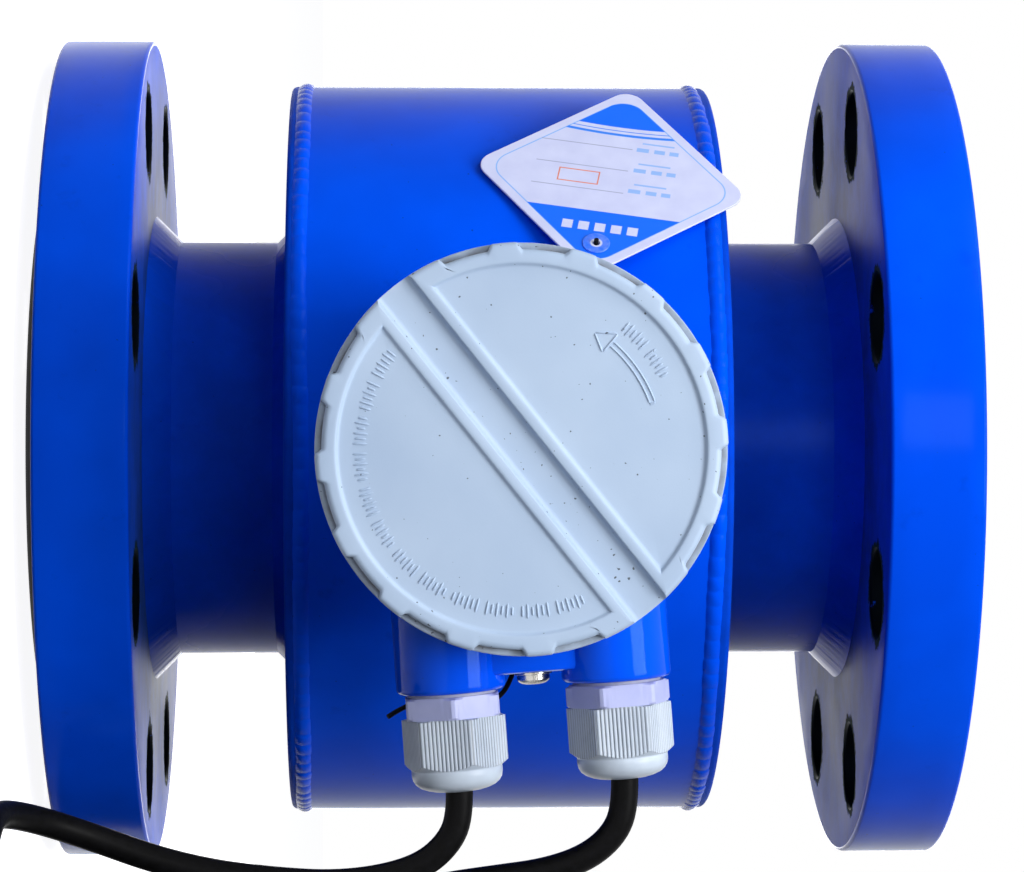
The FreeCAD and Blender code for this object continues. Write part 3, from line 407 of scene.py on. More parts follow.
# moulded rubbers: matt, the harder one with a little more shine
hard_rubber = plain("moulded black hard rubber", "#101012", "#1C1C1F", 0.55, 3, 0.03)
seal_rubber = plain("black nitrile rubber", "#0C0C0C", "#161616", 0.6, 1)
washer_rubber = plain("pale grey nitrile rubber", "#8C90A6", "#9A9EB4", 0.6, 1)
# turned metals: fine tool lines draw the highlights out; the crimped tin is brighter
stainless = plain("turned stainless steel", "#8F8C89", "#AAA7A3", 0.24, 0.7, 0.004, 1.0, 6)
tinned = plain("tinned copper ferrule", "#C2C2C4", "#D8D8DA", 0.3, 0.6, 0.004, 1.0)
# an oiled dark grey, and the ridged red brown of varnished wire
soft_iron = plain("oiled soft iron", "#3A3A3C", "#505054", 0.4, 2, 0.01, 1.0)
enamel_wire = plain("enamelled copper winding", "#7A3A1C", "#9A4E28", 0.35, 0.5, 0.05, 0.7)
# insulating plastics: smooth and waxy when turned, flat black when moulded
bush_resin = plain("turned acetal", "#D9D8D2", "#E8E7E2", 0.4, 1.5, 0.005)
block_resin = plain("moulded black phenolic", "#26282A", "#303234", 0.5, 1.2)
# twisted cotton: deep uneven strands that hardly shine
cotton_string = plain("black twisted string", "#08080A", "#16161C", 0.8, 0.35, 0.12, specular=0.1)
# extruded insulation in the colours of the three conductors, smooth with a soft shine
core_colours = [plain(name, low, high, 0.4, 1, 0.005) for name, low, high in (
    ("brown core", "#4A2512", "#5A2E18"), ("blue core", "#1E4FA0", "#2A60B4"),
    ("red core", "#A81E18", "#BE2A22"))]

# ---- flanges


def flange_sector(turn, inner_r, outer_r, height, arc_steps=20, side_steps=8):
    """A flat 45 degree sector with a round hole: lines run from the hole's edge out to the
    sector's outline, which is outer arc, side, inner arc and side. The mark, for grime, falls
    from 1 at the hole to 0. The lines' angles about the hole are given too."""
    half = math.pi / BOLTS
    swing = np.linspace(-half, half, arc_steps + 1)
    reach = np.linspace(outer_r, inner_r, side_steps + 1)[1:-1]
    radius = np.concatenate([np.full(arc_steps + 1, outer_r), reach,
                             np.full(arc_steps + 1, inner_r), reach[::-1], [outer_r]])
    angle = np.concatenate([swing, np.full(side_steps - 1, half), swing[::-1],
                            np.full(side_steps - 1, -half), [-half]])
    edge = polar(radius, angle)
    centre = np.array([BOLT_R, 0.0])
    ray = edge - centre
    rim = centre + unit(ray) * (HOLE_R + CHAMFER)
    flat = rim + (edge - rim) * np.array([0, 0.06, 0.16, 0.4, 1.0])[:, None, None]
    gap = np.linalg.norm(flat - centre, axis=-1) - HOLE_R
    face = grid(flat[..., 0], flat[..., 1], height, np.clip(1 - gap / GRIME_WIDE, 0, 1))
    return placed(face, turned_about("Z", turn)), np.arctan2(ray[:, 1], ray[:, 0])


def hole_wall(turn, angle, low, high):
    """The wall of one bolt hole with a chamfer at both mouths, its lines at the angles and
    the mark nearly full of grime."""
    rows = np.array([(HOLE_R + CHAMFER, low, 0.8), (HOLE_R, low + CHAMFER, 0.9),
                     (HOLE_R, high - CHAMFER, 0.9), (HOLE_R + CHAMFER, high, 0.8)])
    radius, height, mark = rows.T[..., None]
    wall = placed(polar(radius, angle, height, mark), shift=(BOLT_R, 0, 0))
    return placed(wall, turned_about("Z", turn))


def make_flange(name, face_z, seat_z, back_z, edge=1.0, turns=160):
    """A drilled plate flange: eight sectors on each side with their hole walls, the turned
    rim with two quarter-circle edges, the raised face and the bore. face_z is the raised
    face's height, seat_z the plate's beside it and back_z its far side's."""
    sense = 1 if back_z > face_z else -1
    bore_r = TUBE_R + FIT
    start = BOLT_TURN - math.pi / BOLTS
    patches = []
    for turn in BOLT_TURN + np.arange(BOLTS) * TAU / BOLTS:
        back, angle = flange_sector(turn, bore_r, FLANGE_R - edge, back_z)
        front, _ = flange_sector(turn, RAISED_R, FLANGE_R - edge, seat_z)
        patches += [back, front, hole_wall(turn, angle, *sorted((seat_z, back_z)))]
    swing = np.linspace(0, math.pi / 2, 5)
    near = grid(FLANGE_R - edge + edge * np.sin(swing), seat_z + sense * edge * (1 - np.cos(swing)))
    far = grid(FLANGE_R - edge + edge * np.cos(swing), back_z - sense * edge * (1 - np.sin(swing)))
    middle = grid(FLANGE_R, seat_z + (back_z - seat_z) * np.array([0.25, 0.5, 0.75]))
    patches.append(lathe(np.concatenate([near, middle, far]), turns, start))
    patches.append(lathe([(RAISED_R, seat_z), (RAISED_R, face_z), (bore_r, face_z),
                          (bore_r, back_z)], turns, start))
    make_piece(name + "_painted", patches, [blue_enamel, dusty_shaded_enamel], [name],
               kinds=[1, 0, 0] * BOLTS + [0, 0])


make_flange("lower_flange", FLARE, FLARE + RAISED, LOWER_BACK)
make_flange("upper_flange", TOP - FLARE, TOP - FLARE - RAISED, UPPER_BACK)

# ---- tube, liner and drum


def turned_part(node, finish, outline, material, turns):
    """A closed turned part from its outline of (radius, height) points."""
    make_piece(f"{node}_{finish}", [lathe(outline, turns)], [material], [node])


turned_part("measuring_tube", "painted", rounded([
    (TUBE_R - TUBE_WALL, TUBE_FOOT), (TUBE_R, TUBE_FOOT), (TUBE_R, TUBE_TOP),
    (TUBE_R - TUBE_WALL, TUBE_TOP)], 0.2, 1), shaded_enamel, 192)
LINER_OUT, LINER_BORE, FLARE_R = TUBE_R - TUBE_WALL - 0.1, 50, 76
turned_part("liner", "moulded", rounded([
    (LINER_BORE, 0, 1.2), (FLARE_R, 0, 1), (FLARE_R, FLARE, 0.8), (LINER_OUT, FLARE, 0),
    (LINER_OUT, TOP - FLARE, 0), (FLARE_R, TOP - FLARE, 0.8), (FLARE_R, TOP, 1),
    (LINER_BORE, TOP, 1.2)], 0), hard_rubber, 160)
turned_part("housing_shell", "painted", rounded([
    (SHELL_R - SHELL_WALL, SHELL_FOOT), (SHELL_R, SHELL_FOOT), (SHELL_R, SHELL_TOP),
    (SHELL_R - SHELL_WALL, SHELL_TOP)], 0), blue_enamel, 256)
for node, step in (("lower_end_plate", 1), ("upper_end_plate", -1)):
    outer, inner = turned_size(node)[1:][::step]
    turned_part(node, "painted", rounded([
        (TUBE_R + FIT, inner), (SHELL_R, inner), (SHELL_R, outer, 1.4), (TUBE_R + FIT, outer)],
        0), dusty_shaded_enamel, 256)

# ---- welds


BEAD_PITCH, FILLET_PITCH, FLANGE_LEG, PLATE_LEG = 5.0, 3.2, 7.2, 4.3


def weld_ripple(angle, pitch, radius, seed):
    """Scallops round a weld: each pool is a rounded step, of uneven length and height. Gives
    how high the weld stands at each angle, and its pool's height."""
    count = int(TAU * radius / pitch)
    own = np.random.default_rng(seed)
    bounds = np.cumsum(own.uniform(0.75, 1.25, count))
    bounds = np.concatenate([[0], bounds]) / bounds[-1] * TAU
    heights = own.uniform(0.55, 1.0, count)
    angle = angle % TAU
    index = np.clip(np.searchsorted(bounds, angle, side="right") - 1, 0, count - 1)
    share = (angle - bounds[index]) / (bounds[index + 1] - bounds[index])
    pool, uneven = heights[index] * (1 - (2 * share - 0.8) ** 2).clip(0, 1), heights[index]
    pool[-1], uneven[-1] = pool[0], uneven[0]
    return pool, uneven


def make_bead(name, wave, seed, sunk=0.25, steps=1500):
    """The seam bead round the drum: a low hump, one less the square of the way across,
    carried round with its crown scaled by the ripples and its line wandering in waves."""
    bead_r, foot, top = turned_size(name)
    height, wide, proud = (foot + top) / 2, top - foot, bead_r - SHELL_R
    angle = np.linspace(0, TAU, steps + 1)
    pool, uneven = weld_ripple(angle, BEAD_PITCH, SHELL_R, seed)
    across = np.linspace(-1, 1, 11)[:, None]
    crown = (1 - across ** 2) * (0.7 + 0.3 * pool) * (proud + sunk)
    wander = 0.35 * np.sin(3 * angle + wave) + 0.2 * np.sin(7 * angle)
    level = height + wander + across * wide / 2 * (0.8 + 0.25 * uneven)
    ring = polar(SHELL_R - sunk + crown, angle, level)
    under = lathe([(SHELL_R - sunk, height - wide), (SHELL_R - sunk - 0.15, height),
                   (SHELL_R - sunk, height + wide)], steps)
    under[0], under[-1] = ring[0], ring[-1]
    make_piece(name + "_rippled", [ring, under], [blue_enamel], [name], sharp=60)


def make_fillet(name, seat, leg, way, seed, sunk=0.1, steps=1200):
    """A fillet weld round the tube: a flat sloping face with ripples, from the seat outwards
    (way is the direction along the tube) and down to the tube."""
    angle = np.linspace(0, TAU, steps + 1)
    pool, uneven = weld_ripple(angle, FILLET_PITCH, TUBE_R, seed)
    share = np.linspace(0, 1, 9)[:, None]
    size = leg * (0.97 + 0.03 * uneven)
    hollow = 0.003 * leg * np.sin(math.pi * share) * (pool * 1.6 - 0.8)
    face = polar(TUBE_R - sunk + size * (1 - share) + hollow, angle,
                 seat + way * (size * share + hollow))
    root = lathe([(TUBE_R - sunk, seat)], steps)[0]
    back = np.stack([face[0], root, face[-1]])
    make_piece(name + "_rippled", [face, back], [shaded_enamel], [name], sharp=50)


make_bead("lower_seam_bead", -1, 3)
make_bead("upper_seam_bead", 1, 4)
make_fillet("lower_flange_weld", LOWER_BACK, FLANGE_LEG, 1, 11)
make_fillet("upper_flange_weld", UPPER_BACK, FLANGE_LEG, -1, 12)
make_fillet("lower_plate_weld", turned_size("lower_end_plate")[1], PLATE_LEG, -1, 13)
make_fillet("upper_plate_weld", turned_size("upper_end_plate")[2], PLATE_LEG, 1, 14)

# ---- junction box

CAN_R, THREAD_R, BOSS_R, BOSS_BORE_R, WEB_HALF = 44.0, 42.0, 13.0, 8.05, 8.5


def boss_surface(side, turns=96, fillet=3.0, edge=1.3, overlap=0.4):
    """A cable boss: a round bar out of the can, flared where it meets the can's wall.

    The radius grows by a quarter-circle fillet over the first millimetres beyond the
    wall, which lies at the root of can radius squared less the sideways distance squared.
    """
    middle_y = side * GLAND_PITCH / 2
    angle = np.linspace(0, TAU, turns + 1)
    wall = np.sqrt(CAN_R ** 2 - (middle_y + BOSS_R * np.cos(angle)) ** 2)
    share = np.linspace(0, 1, 7)[:, None]
    swing = np.linspace(0, math.pi / 2, 6)
    flare = fillet * (1 - np.sqrt(1 - (1 - share) ** 2))
    bar = grid(wall - overlap + share * (fillet + overlap), BOSS_R + flare)
    end = np.concatenate([
        grid(BOSS_REACH - edge + edge * np.sin(swing), BOSS_R - edge + edge * np.cos(swing)),
        [(BOSS_REACH, BOSS_BORE_R), (BOSS_REACH - 4, BOSS_BORE_R)]])
    x, radius = np.concatenate([bar, end[:, None].repeat(turns + 1, axis=1)]).transpose(2, 0, 1)
    return grid(x, middle_y + radius * np.cos(angle), GLAND_HEIGHT + radius * np.sin(angle))


def web_surface(start=36.0, edge=1.2):
    """The web between the bosses: a rounded slab section carried out of the can, drawn in
    towards its middle by the inset of each step along."""
    half_y = GLAND_PITCH / 2
    section = rounded([(-half_y, -WEB_HALF), (half_y, -WEB_HALF), (half_y, WEB_HALF),
                       (-half_y, WEB_HALF)], 1.6)[None]
    along, inset = np.array([(start, 0), (WEB_REACH - edge, 0), (WEB_REACH - 0.3 * edge, 0.3 * edge),
                             (WEB_REACH, edge), (WEB_REACH, WEB_HALF)]).T[..., None, None]
    drawn = section - np.sign(section) * np.minimum(inset, np.abs(section))
    return grid(along[..., 0], drawn[..., 0], drawn[..., 1] + GLAND_HEIGHT)


def make_junction_box():
    """The cast box: its turned can and thread with two flared bosses and the web. The can's
    outline goes from the floor's hole under the floor, round the spigot on the neck, up the
    wall and the thread, and down inside: radius, height over the tube's axis, corner."""
    can = rounded([
        (9, 129, 0), (25.1, 129, 0), (25.1, 119, 0.5), (31, 119, 1.2), (31, 127, 1.5),
        (41, 127, 2), (CAN_R, 130, 2), (CAN_R, 160, 0.8), (THREAD_R, 160, 0),
        (THREAD_R, 172, 0.8), (38, 172, 0.6), (38, 137, 2), (9, 137, 0.6)], 0)
    patches = [lathe(can), web_surface(), boss_surface(-1), boss_surface(1)]
    make_piece("junction_box_painted", [in_box(patch) for patch in patches], [bright_enamel],
               ["junction_box"])


def make_earth_screw(head_r=3.9, high=2.4, washer_r=4.5, washer_high=0.8):
    """A pan head with a cross: a dome turned about its axis, less a cross-shaped dip, over
    a flat washer on the web's end."""
    seat = WEB_REACH + washer_high
    angle = np.linspace(0, TAU, 97)
    share = np.linspace(0, 1, 25)[:, None]
    u, v = head_r * share * np.cos(angle), head_r * share * np.sin(angle)
    arm, reach = np.minimum(np.abs(u), np.abs(v)), np.maximum(np.abs(u), np.abs(v))
    dip = 1.1 * np.clip((0.55 - arm) / 0.25, 0, 1) * np.clip((2.0 - reach) / 0.4, 0, 1)
    dome = seat + high * np.sqrt(1 - (share * 0.93) ** 4) - dip
    top = grid(dome, v, GLAND_HEIGHT + u)
    side = top[-1:].repeat(3, axis=0)
    side[1:, :, 0] = seat
    side[2, :, 1:] = 0, GLAND_HEIGHT
    make_piece("earth_screw_head", [in_box(top), in_box(side)], [stainless],
               ["earth_screw"])
    washer = lathe(rounded([(2.1, WEB_REACH), (washer_r, WEB_REACH), (washer_r, seat),
                            (2.1, seat)], 0.2, 2), 64)
    flat = placed(washer, turned_about("Y", math.pi / 2), (0, 0, GLAND_HEIGHT))
    make_piece("earth_washer_flat", [in_box(flat)], [stainless], ["earth_washer"])


make_junction_box()
make_earth_screw()

# ---- screw cover

# across the slot and its ridges, then heights below the cover's top: panel, rounded edge's
# foot, grip notches' ledge and the roof over the box
SLOT_HALF, RIDGE, RIM_IN = 4.5, 2.6, 42.25
PANEL, EDGE_LOW, GRIP_LEDGE, ROOF = -0.9, -1.3, -3.0, -5.0
# the slot's section from its one side to the middle of its floor, and mirrored: across, height
HALF_SECTION = np.array([(SLOT_HALF, EDGE_LOW), (4.1, -1.75), (3.8, -2.02), (3.5, -2.16),
                         (3.1, -2.2), (1.5, -2.2)])
SLOT_SECTION = np.concatenate([HALF_SECTION, [(0, -2.2)], HALF_SECTION[::-1] * (-1, 1)])
GRIPS, GRIP_WIDE, GRIP_DEEP = 16, math.radians(14), 1.6
COVER_HIGH = COVER_TOP - COVER_FOOT
# start and stop of the raised marks, in degrees from the slot's own direction
ARROW, LONG_TICKS, SHORT_TICKS = (70.7, 101.5), (195, 345), (79, 101)


def grip_notch(angle, soft=math.radians(1.6)):
    """How deep the grip notches are round the rim, 0 to 1; none at the slot's two ends."""
    step = TAU / GRIPS
    off = (angle + step / 2) % step - step / 2
    here = eased((off + GRIP_WIDE / 2) / soft + 0.5) * eased((GRIP_WIDE / 2 - off) / soft + 0.5)
    return np.where(np.round(angle / step) % (GRIPS // 2) == 0, 0, here)


def d_curve(chord, arc_r, notch=0.0, chord_steps=90, arc_steps=260):
    """A D-shaped line: straight at y = chord, then the arc of radius arc_r back to its start.

    notch is the share of the grip notches that the arc follows.
    """
    first = math.asin(chord / arc_r)
    half = arc_r * math.cos(first)
    angle = np.linspace(first, math.pi - first, arc_steps)
    return np.concatenate([grid(np.linspace(-half, half, chord_steps), chord),
                           polar(arc_r - notch * GRIP_DEEP * grip_notch(angle), angle)])


def cover_half():
    """Half the cover's face: D-shaped lines from the rounded outer edge over the rim and
    ridge, down into the sunk panel and on to its middle, where they close up."""
    rows = []
    for swing in np.linspace(0, math.pi / 2, 6):
        chord = SLOT_HALF + 0.6 * (1 - math.cos(swing))
        arc = COVER_R - 1.5 * (1 - math.cos(swing))
        rows.append((d_curve(chord, arc, 1.0), EDGE_LOW * (1 - math.sin(swing))))
    for into, level in ((-0.75, 0), (-0.35, -0.03), (-0.05, -0.2), (0.2, PANEL + 0.2),
                        (0.5, PANEL + 0.04), (0.9, PANEL)):
        rows.append((d_curve(SLOT_HALF + RIDGE + 0.2 + into, RIM_IN - into), level))
    border = rows[-1][0]
    middle = (border.max(axis=0) + border.min(axis=0)) / 2
    rows += [(middle + (border - middle) * share, PANEL) for share in (0.8, 0.5, 0.2, 0)]
    return np.stack([grid(*line.T, level) for line, level in rows])


def cover_wall():
    """The grip wall below the rounded edge: radius by angle and height, with the notches
    stopping at a full ring, and the height at the slot's ends dropped to the slot's section."""
    first = math.asin(SLOT_HALF / COVER_R)
    arc = np.linspace(first, math.pi - first, 260)
    across, drop = SLOT_SECTION[1:-1].T
    lean = np.arcsin(across / COVER_R)
    angle = np.concatenate([arc, math.pi - lean, arc + math.pi, TAU + lean[::-1], [TAU + first]])
    edge = np.full(len(arc), EDGE_LOW)
    top = np.concatenate([edge, drop, edge, drop[::-1], [EDGE_LOW]])
    notch = grip_notch(angle)
    # each row: height, share of the notches' depth, share of their painted shade
    rows = [(top, 1, 0.3), (np.minimum(top, -1.8), 1, 0.9), (-2.4, 1, 1),
            (GRIP_LEDGE + 0.15, 1, 1), (GRIP_LEDGE, 0.9, 1), (GRIP_LEDGE, 0.15, 0.5),
            (GRIP_LEDGE - 0.25, 0, 0.1), (-10, 0, 0), (-COVER_HIGH + 0.5, 0, 0)]
    made = [polar(COVER_R - share * GRIP_DEEP * notch, angle, level, notch * notch_shade)
            for level, share, notch_shade in rows]
    made += [polar(radius, angle, level, 0) for radius, level in (
        (COVER_R - 0.4, -COVER_HIGH), (THREAD_R + 0.1, -COVER_HIGH), (THREAD_R + 0.1, ROOF),
        (0, ROOF))]
    return np.stack(made)


def cover_slot():
    """The coin slot: its section (sloping wall, fillet, flat floor) carried along the cover."""
    y, z = SLOT_SECTION.T[..., None]
    return grid(np.sqrt(COVER_R ** 2 - y ** 2) * np.linspace(-1, 1, 90), y, z)


def raised_bar(path, wide=0.6, high=0.32, sunk=0.1):
    """A moulded line on the panel: a half-round section carried along a flat path, closed
    at its ends."""
    along = unit(np.gradient(path, axis=0))
    swing = np.linspace(0, math.pi, 7)[:, None]
    spread, lift = np.ones(len(path)), np.ones(len(path))
    spread[[0, -1]], lift[[0, -1]] = 0.3, 0
    side = wide / 2 * np.cos(swing) * spread
    return grid(path[:, 0] - side * along[:, 1], path[:, 1] + side * along[:, 0],
                PANEL - sunk + (high + sunk) * np.sin(swing) * lift)


def ticks(radius, start, stop, count, length, seed):
    """Short moulded bars standing across an arc, alternating long and short in groups."""
    own = np.random.default_rng(seed)
    bars = []
    for index, angle in enumerate(np.radians(np.linspace(start, stop, count))):
        if index % 7 == 6:
            continue
        reach = length * (1.0 if index % 2 else own.uniform(0.55, 0.8))
        bars.append(raised_bar(polar(radius + np.linspace(-reach / 2, reach / 2, 6), angle)))
    return bars


def opening_arrow():
    """The raised arrow: two arcs side by side, the bar across their tail and the three
    strokes of the head."""
    tail, neck, tip = np.radians([*ARROW, ARROW[1] + 8])
    bars = [raised_bar(polar(reach, np.radians(np.linspace(*ARROW, 24))), 0.55)
            for reach in (31.0, 32.2)]
    head = [polar(31.4, tip), polar(34.4, neck), polar(28.7, neck)]
    strokes = [(polar(30.9, tail), polar(32.3, tail)), *zip(head, head[1:] + head[:1])]
    return bars + [raised_bar(np.linspace(first, second, 10)) for first, second in strokes]


def make_cover():
    """The screw cover: two faces, the slot between them, the grip wall, the opening arrow and
    a row of plain raised ticks."""
    half = cover_half()
    patches = [half, placed(half, turned_about("Z", math.pi)), cover_slot(), cover_wall(),
               *opening_arrow(), *ticks(36.9, *LONG_TICKS, 84, 3.9, 21),
               *ticks(36.6, *SHORT_TICKS, 13, 3.9, 22)]
    make_piece("screw_cover", [in_cover(patch) for patch in patches], [cover_abs],
               ["cover"], body="cover", sharp=40)


make_cover()

# ---- cable glands

# the hexagon's flats and its turned-down corners; outlines are (radius, height) as in a lathe
FLAT_R, CORNER_R, RIB_PITCH, THREAD_PITCH = 11.0, 12.45, 0.96, 1.5


def hexagon(angle, turn):
    """The radius of a hexagon at each angle, its flats' distance over the cosine of the angle
    from the nearest flat's middle, and that angle."""
    off = (angle - math.radians(turn)) % (math.pi / 3) - math.pi / 6
    return FLAT_R / np.cos(off), off


def make_gland_body(side, name, turn):
    """The gland's hexagon with turned-down corners, then its threaded mouth."""
    angle = np.linspace(0, TAU, 721)
    shape, _ = hexagon(angle, turn)
    limit, level = np.array([(8.0, 0.8), (11.35, 0.8), (CORNER_R, 1.3), (CORNER_R, 5.5),
                             (11.9, 6.0), (9.4, 6.0)]).T[..., None]
    height = np.linspace(6.0, 15.4, 48)[:, None]
    phase = (height / THREAD_PITCH - angle / TAU) % 1
    patch = np.concatenate([
        polar(np.minimum(shape, limit), angle, level),
        polar(9.35 - 0.35 * np.abs(2 * phase - 1), angle, height),
        lathe([(9.0, 15.5), (6.3, 15.5), (6.3, 8.0)], 720)])
    make_piece(name + "_hexagon", [in_gland(patch, side)], [gland_nylon], [name],
               sharp=28)


def make_gland_nut(side, name, turn):
    """The ribbed nut: a hexagon with fine ribs on its flats, cut by a cone towards the dome,
    then the dome itself and the round mouth for the cable. The mark, high in the grooves,
    carries their painted shade."""
    angle = np.linspace(0, TAU, 6 * 96 + 1)
    shape, off = hexagon(angle, turn)
    groove = (0.5 - 0.5 * np.cos(TAU * FLAT_R * np.tan(off) / RIB_PITCH)) ** 3
    levels = np.concatenate([[6.0, 6.25, 6.6], np.linspace(7.2, 15.6, 8),
                             np.linspace(15.9, 18.3, 13)])[:, None]
    cone = CORNER_R - np.clip(levels - 16.7, 0, None) * 1.3
    ribbed = np.minimum(shape - 0.24 * groove, cone)
    ribbed[0] = np.minimum(shape, 11.3)
    ribbed = np.maximum(ribbed, 10.75)
    # the mark follows the grooves and paints shade into them
    ribs = polar(ribbed, angle, levels, np.where(ribbed < shape - 0.25, 0, groove))
    dome = [(10.8, 18.4), (10.8, 19.4), (10.55, 20.6), (9.95, 21.6), (8.95, 22.4), (7.5, 23.0),
            (6.1, 23.35), (4.9, 23.5), (4.2, 23.45), (4.0, 23.2)]
    mouth = [(4.0, 16.6), (9.6, 16.6), (9.6, 6.0)]
    inner = lathe(np.pad(dome + mouth, ((0, 0), (0, 1))), 576)
    patch = np.concatenate([ribs, inner, polar(ribbed[:1], angle, 6.0, 0)])
    make_piece(name + "_ribbed", [in_gland(patch, side)], [nut_nylon], [name],
               body=name, sharp=35)


for side, name, body_turn, nut_turn in ((-1, "lower", 0, 41.5), (1, "upper", 21.5, 30)):
    make_gland_body(side, f"{name}_gland_body", body_turn)
    make_gland_nut(side, f"{name}_gland_nut", nut_turn)

# ---- cables, in metres

CABLE, CORE, FERRULE, STRING = 0.0066, 0.0016, 0.0021, 0.0012
FLOOR = CABLE / 2
COIL_LAYERS = 5
# each cable out of its nut, down past the lower flange and to its coil
LOWER_ROUTE = [
    (0.0807, -0.1477, 0.1099), (0.0869, -0.1477, 0.1100), (0.0930, -0.1477, 0.1076),
    (0.0985, -0.1477, 0.1015), (0.1016, -0.1476, 0.0918), (0.1029, -0.1474, 0.0795),
    (0.1020, -0.1472, 0.0660), (0.1002, -0.1472, 0.0515), (0.0967, -0.1476, 0.0376),
    (0.0916, -0.1494, 0.0244), (0.0868, -0.1555, 0.0126), (0.0838, -0.1660, 0.0052),
    (0.0832, -0.1790, FLOOR), (0.0870, -0.1925, FLOOR), (0.0954, -0.2040, FLOOR),
    (0.1070, -0.2120, FLOOR), (0.1210, -0.2164, FLOOR), (0.1350, -0.2177, FLOOR)]
UPPER_ROUTE = [
    (0.0778, -0.1477, 0.1491), (0.0846, -0.1477, 0.1492), (0.0912, -0.1476, 0.1468),
    (0.0968, -0.1473, 0.1404), (0.1003, -0.1468, 0.1305), (0.1020, -0.1458, 0.1185),
    (0.1040, -0.1436, 0.1060), (0.1078, -0.1394, 0.0926), (0.1132, -0.1334, 0.0794),
    (0.1170, -0.1264, 0.0656), (0.1210, -0.1196, 0.0514), (0.1256, -0.1132, 0.0374),
    (0.1312, -0.1074, 0.0244), (0.1386, -0.1022, 0.0134), (0.1482, -0.0980, 0.0062),
    (0.1600, -0.0954, FLOOR)]


def coil_points(centre, columns=4, layers=COIL_LAYERS, per_turn=14, air=0.0003, middle=0.038):
    """The wound length: turns side by side and in layers, then the free end on top.

    Each turn keeps its radius for three quarters of a turn and then moves over by one
    diameter; the last turn of a layer climbs instead. Layers run in and out by turns.
    """
    pitch = CABLE + air
    outer = middle + (columns - 1) / 2 * pitch
    turns = columns * layers
    t = np.arange(1, turns * per_turn + 1) / per_turn
    whole = np.minimum(np.floor(t), turns - 1)
    cross = eased((t - whole - 0.72) / 0.28)

    def column(number):
        within = number % columns
        inwards = (number // columns) % 2 == 0
        return np.where(inwards, within, columns - 1 - within)

    following = np.minimum(whole + 1, turns - 1)
    shelf = column(whole) + (column(following) - column(whole)) * cross
    layer = whole // columns + (following // columns - whole // columns) * cross
    radius = outer - shelf * pitch
    wound = polar(radius, TAU * t - math.pi / 2, FLOOR + layer * CABLE)
    # the free end climbs onto the coil and lies on its top
    swing = np.radians([-66, -40, -12, 18, 50, 84, 120, 158, 184, 200, 222, 244, 266])
    share = np.clip((np.arange(13) + 1) / 8, 0, 1)
    rise = wound[-1, 2] + (FLOOR + layers * CABLE - wound[-1, 2]) * share
    end = polar(radius[-1] + (middle - radius[-1]) * share, swing, rise)
    return placed(np.concatenate([wound, end]), shift=(*centre, 0))


def make_cores(name, tip, before):
    """Three coloured cores that fan out of the sheath's end and droop onto the coil, each
    with its bare ferrule."""
    tip, before = Vector(tip), Vector(before)
    out = (tip - before).normalized()
    across = Vector((0, 0, 1)).cross(out)
    low = COIL_LAYERS * CABLE + 0.0009
    made = []
    for step, material in zip((-1, 0, 1), core_colours):
        root = tip + across * (0.0020 * step)
        bend = root + out * 0.011 + across * step * 0.0022
        last = root + out * 0.018 + across * step * 0.0046
        route = [root - out * 0.002, root + out * 0.005, Vector((bend.x, bend.y, low + 0.0012)),
                 Vector((last.x, last.y, low + 0.0003))]
        core = spline_piece(f"{name}_core_{step + 2}", route, CORE, material)
        heading = route[3] - route[2]
        heading.z = 0
        heading.normalize()
        start = route[3] - heading * 0.001
        bare = [start, start + heading * 0.0045, start + heading * 0.009]
        ferrule = spline_piece(f"{name}_ferrule_{step + 2}", bare, FERRULE, tinned)
        made += [core, ferrule]
    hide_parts(f"{name}_cores")
    return made


def make_cable(name, route, centre):
    """One signal cable: its laid route and its coil on one spline, with its stripped end."""
    points = [Vector(point) for point in (*route, *coil_points(centre))]
    cable = spline_piece(name + "_sheath", points, CABLE, sheath_pvc)
    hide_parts(name, name + "_coil", name + "_end")
    cores = make_cores(name, points[-1], points[-2])
    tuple(route[0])


make_cable("lower_cable", LOWER_ROUTE, (0.158, -0.170))
make_cable("upper_cable", UPPER_ROUTE, (0.178, -0.0474))

# ---- hang tag

# the card leans on the drum, facing away from the glands, tilted by its string
TAG_OUT = unit((-0.682, -0.731, 0))
TAG_CENTRE = TAG_OUT * 101.3 + np.array([0, 0, 150.5])
TAG_TILT = np.array(Matrix.Rotation(math.radians(-11), 3, Vector(TAG_OUT)))
CORNER_WAY = TAG_TILT @ np.array([0, 0, 1.0])
HOLE_WAY = TAG_TILT @ np.cross([0, 0, 1.0], TAG_OUT)
TAG_SIDE, TAG_THICK, TAG_CORNER, HOLE_REACH, HOLE_OF_TAG = 51.0, 0.6, 5.0, 24.5, 2.0
FRAME_HALF, FRAME_CORNER, INK_EDGE = 22.85, 6.0, 0.08


def in_tag(points):
    """Tag frame (x towards the side corner, y towards the hole's corner) to the meter's."""
    return placed(points, np.stack([CORNER_WAY, HOLE_WAY, TAG_OUT], axis=1), TAG_CENTRE)


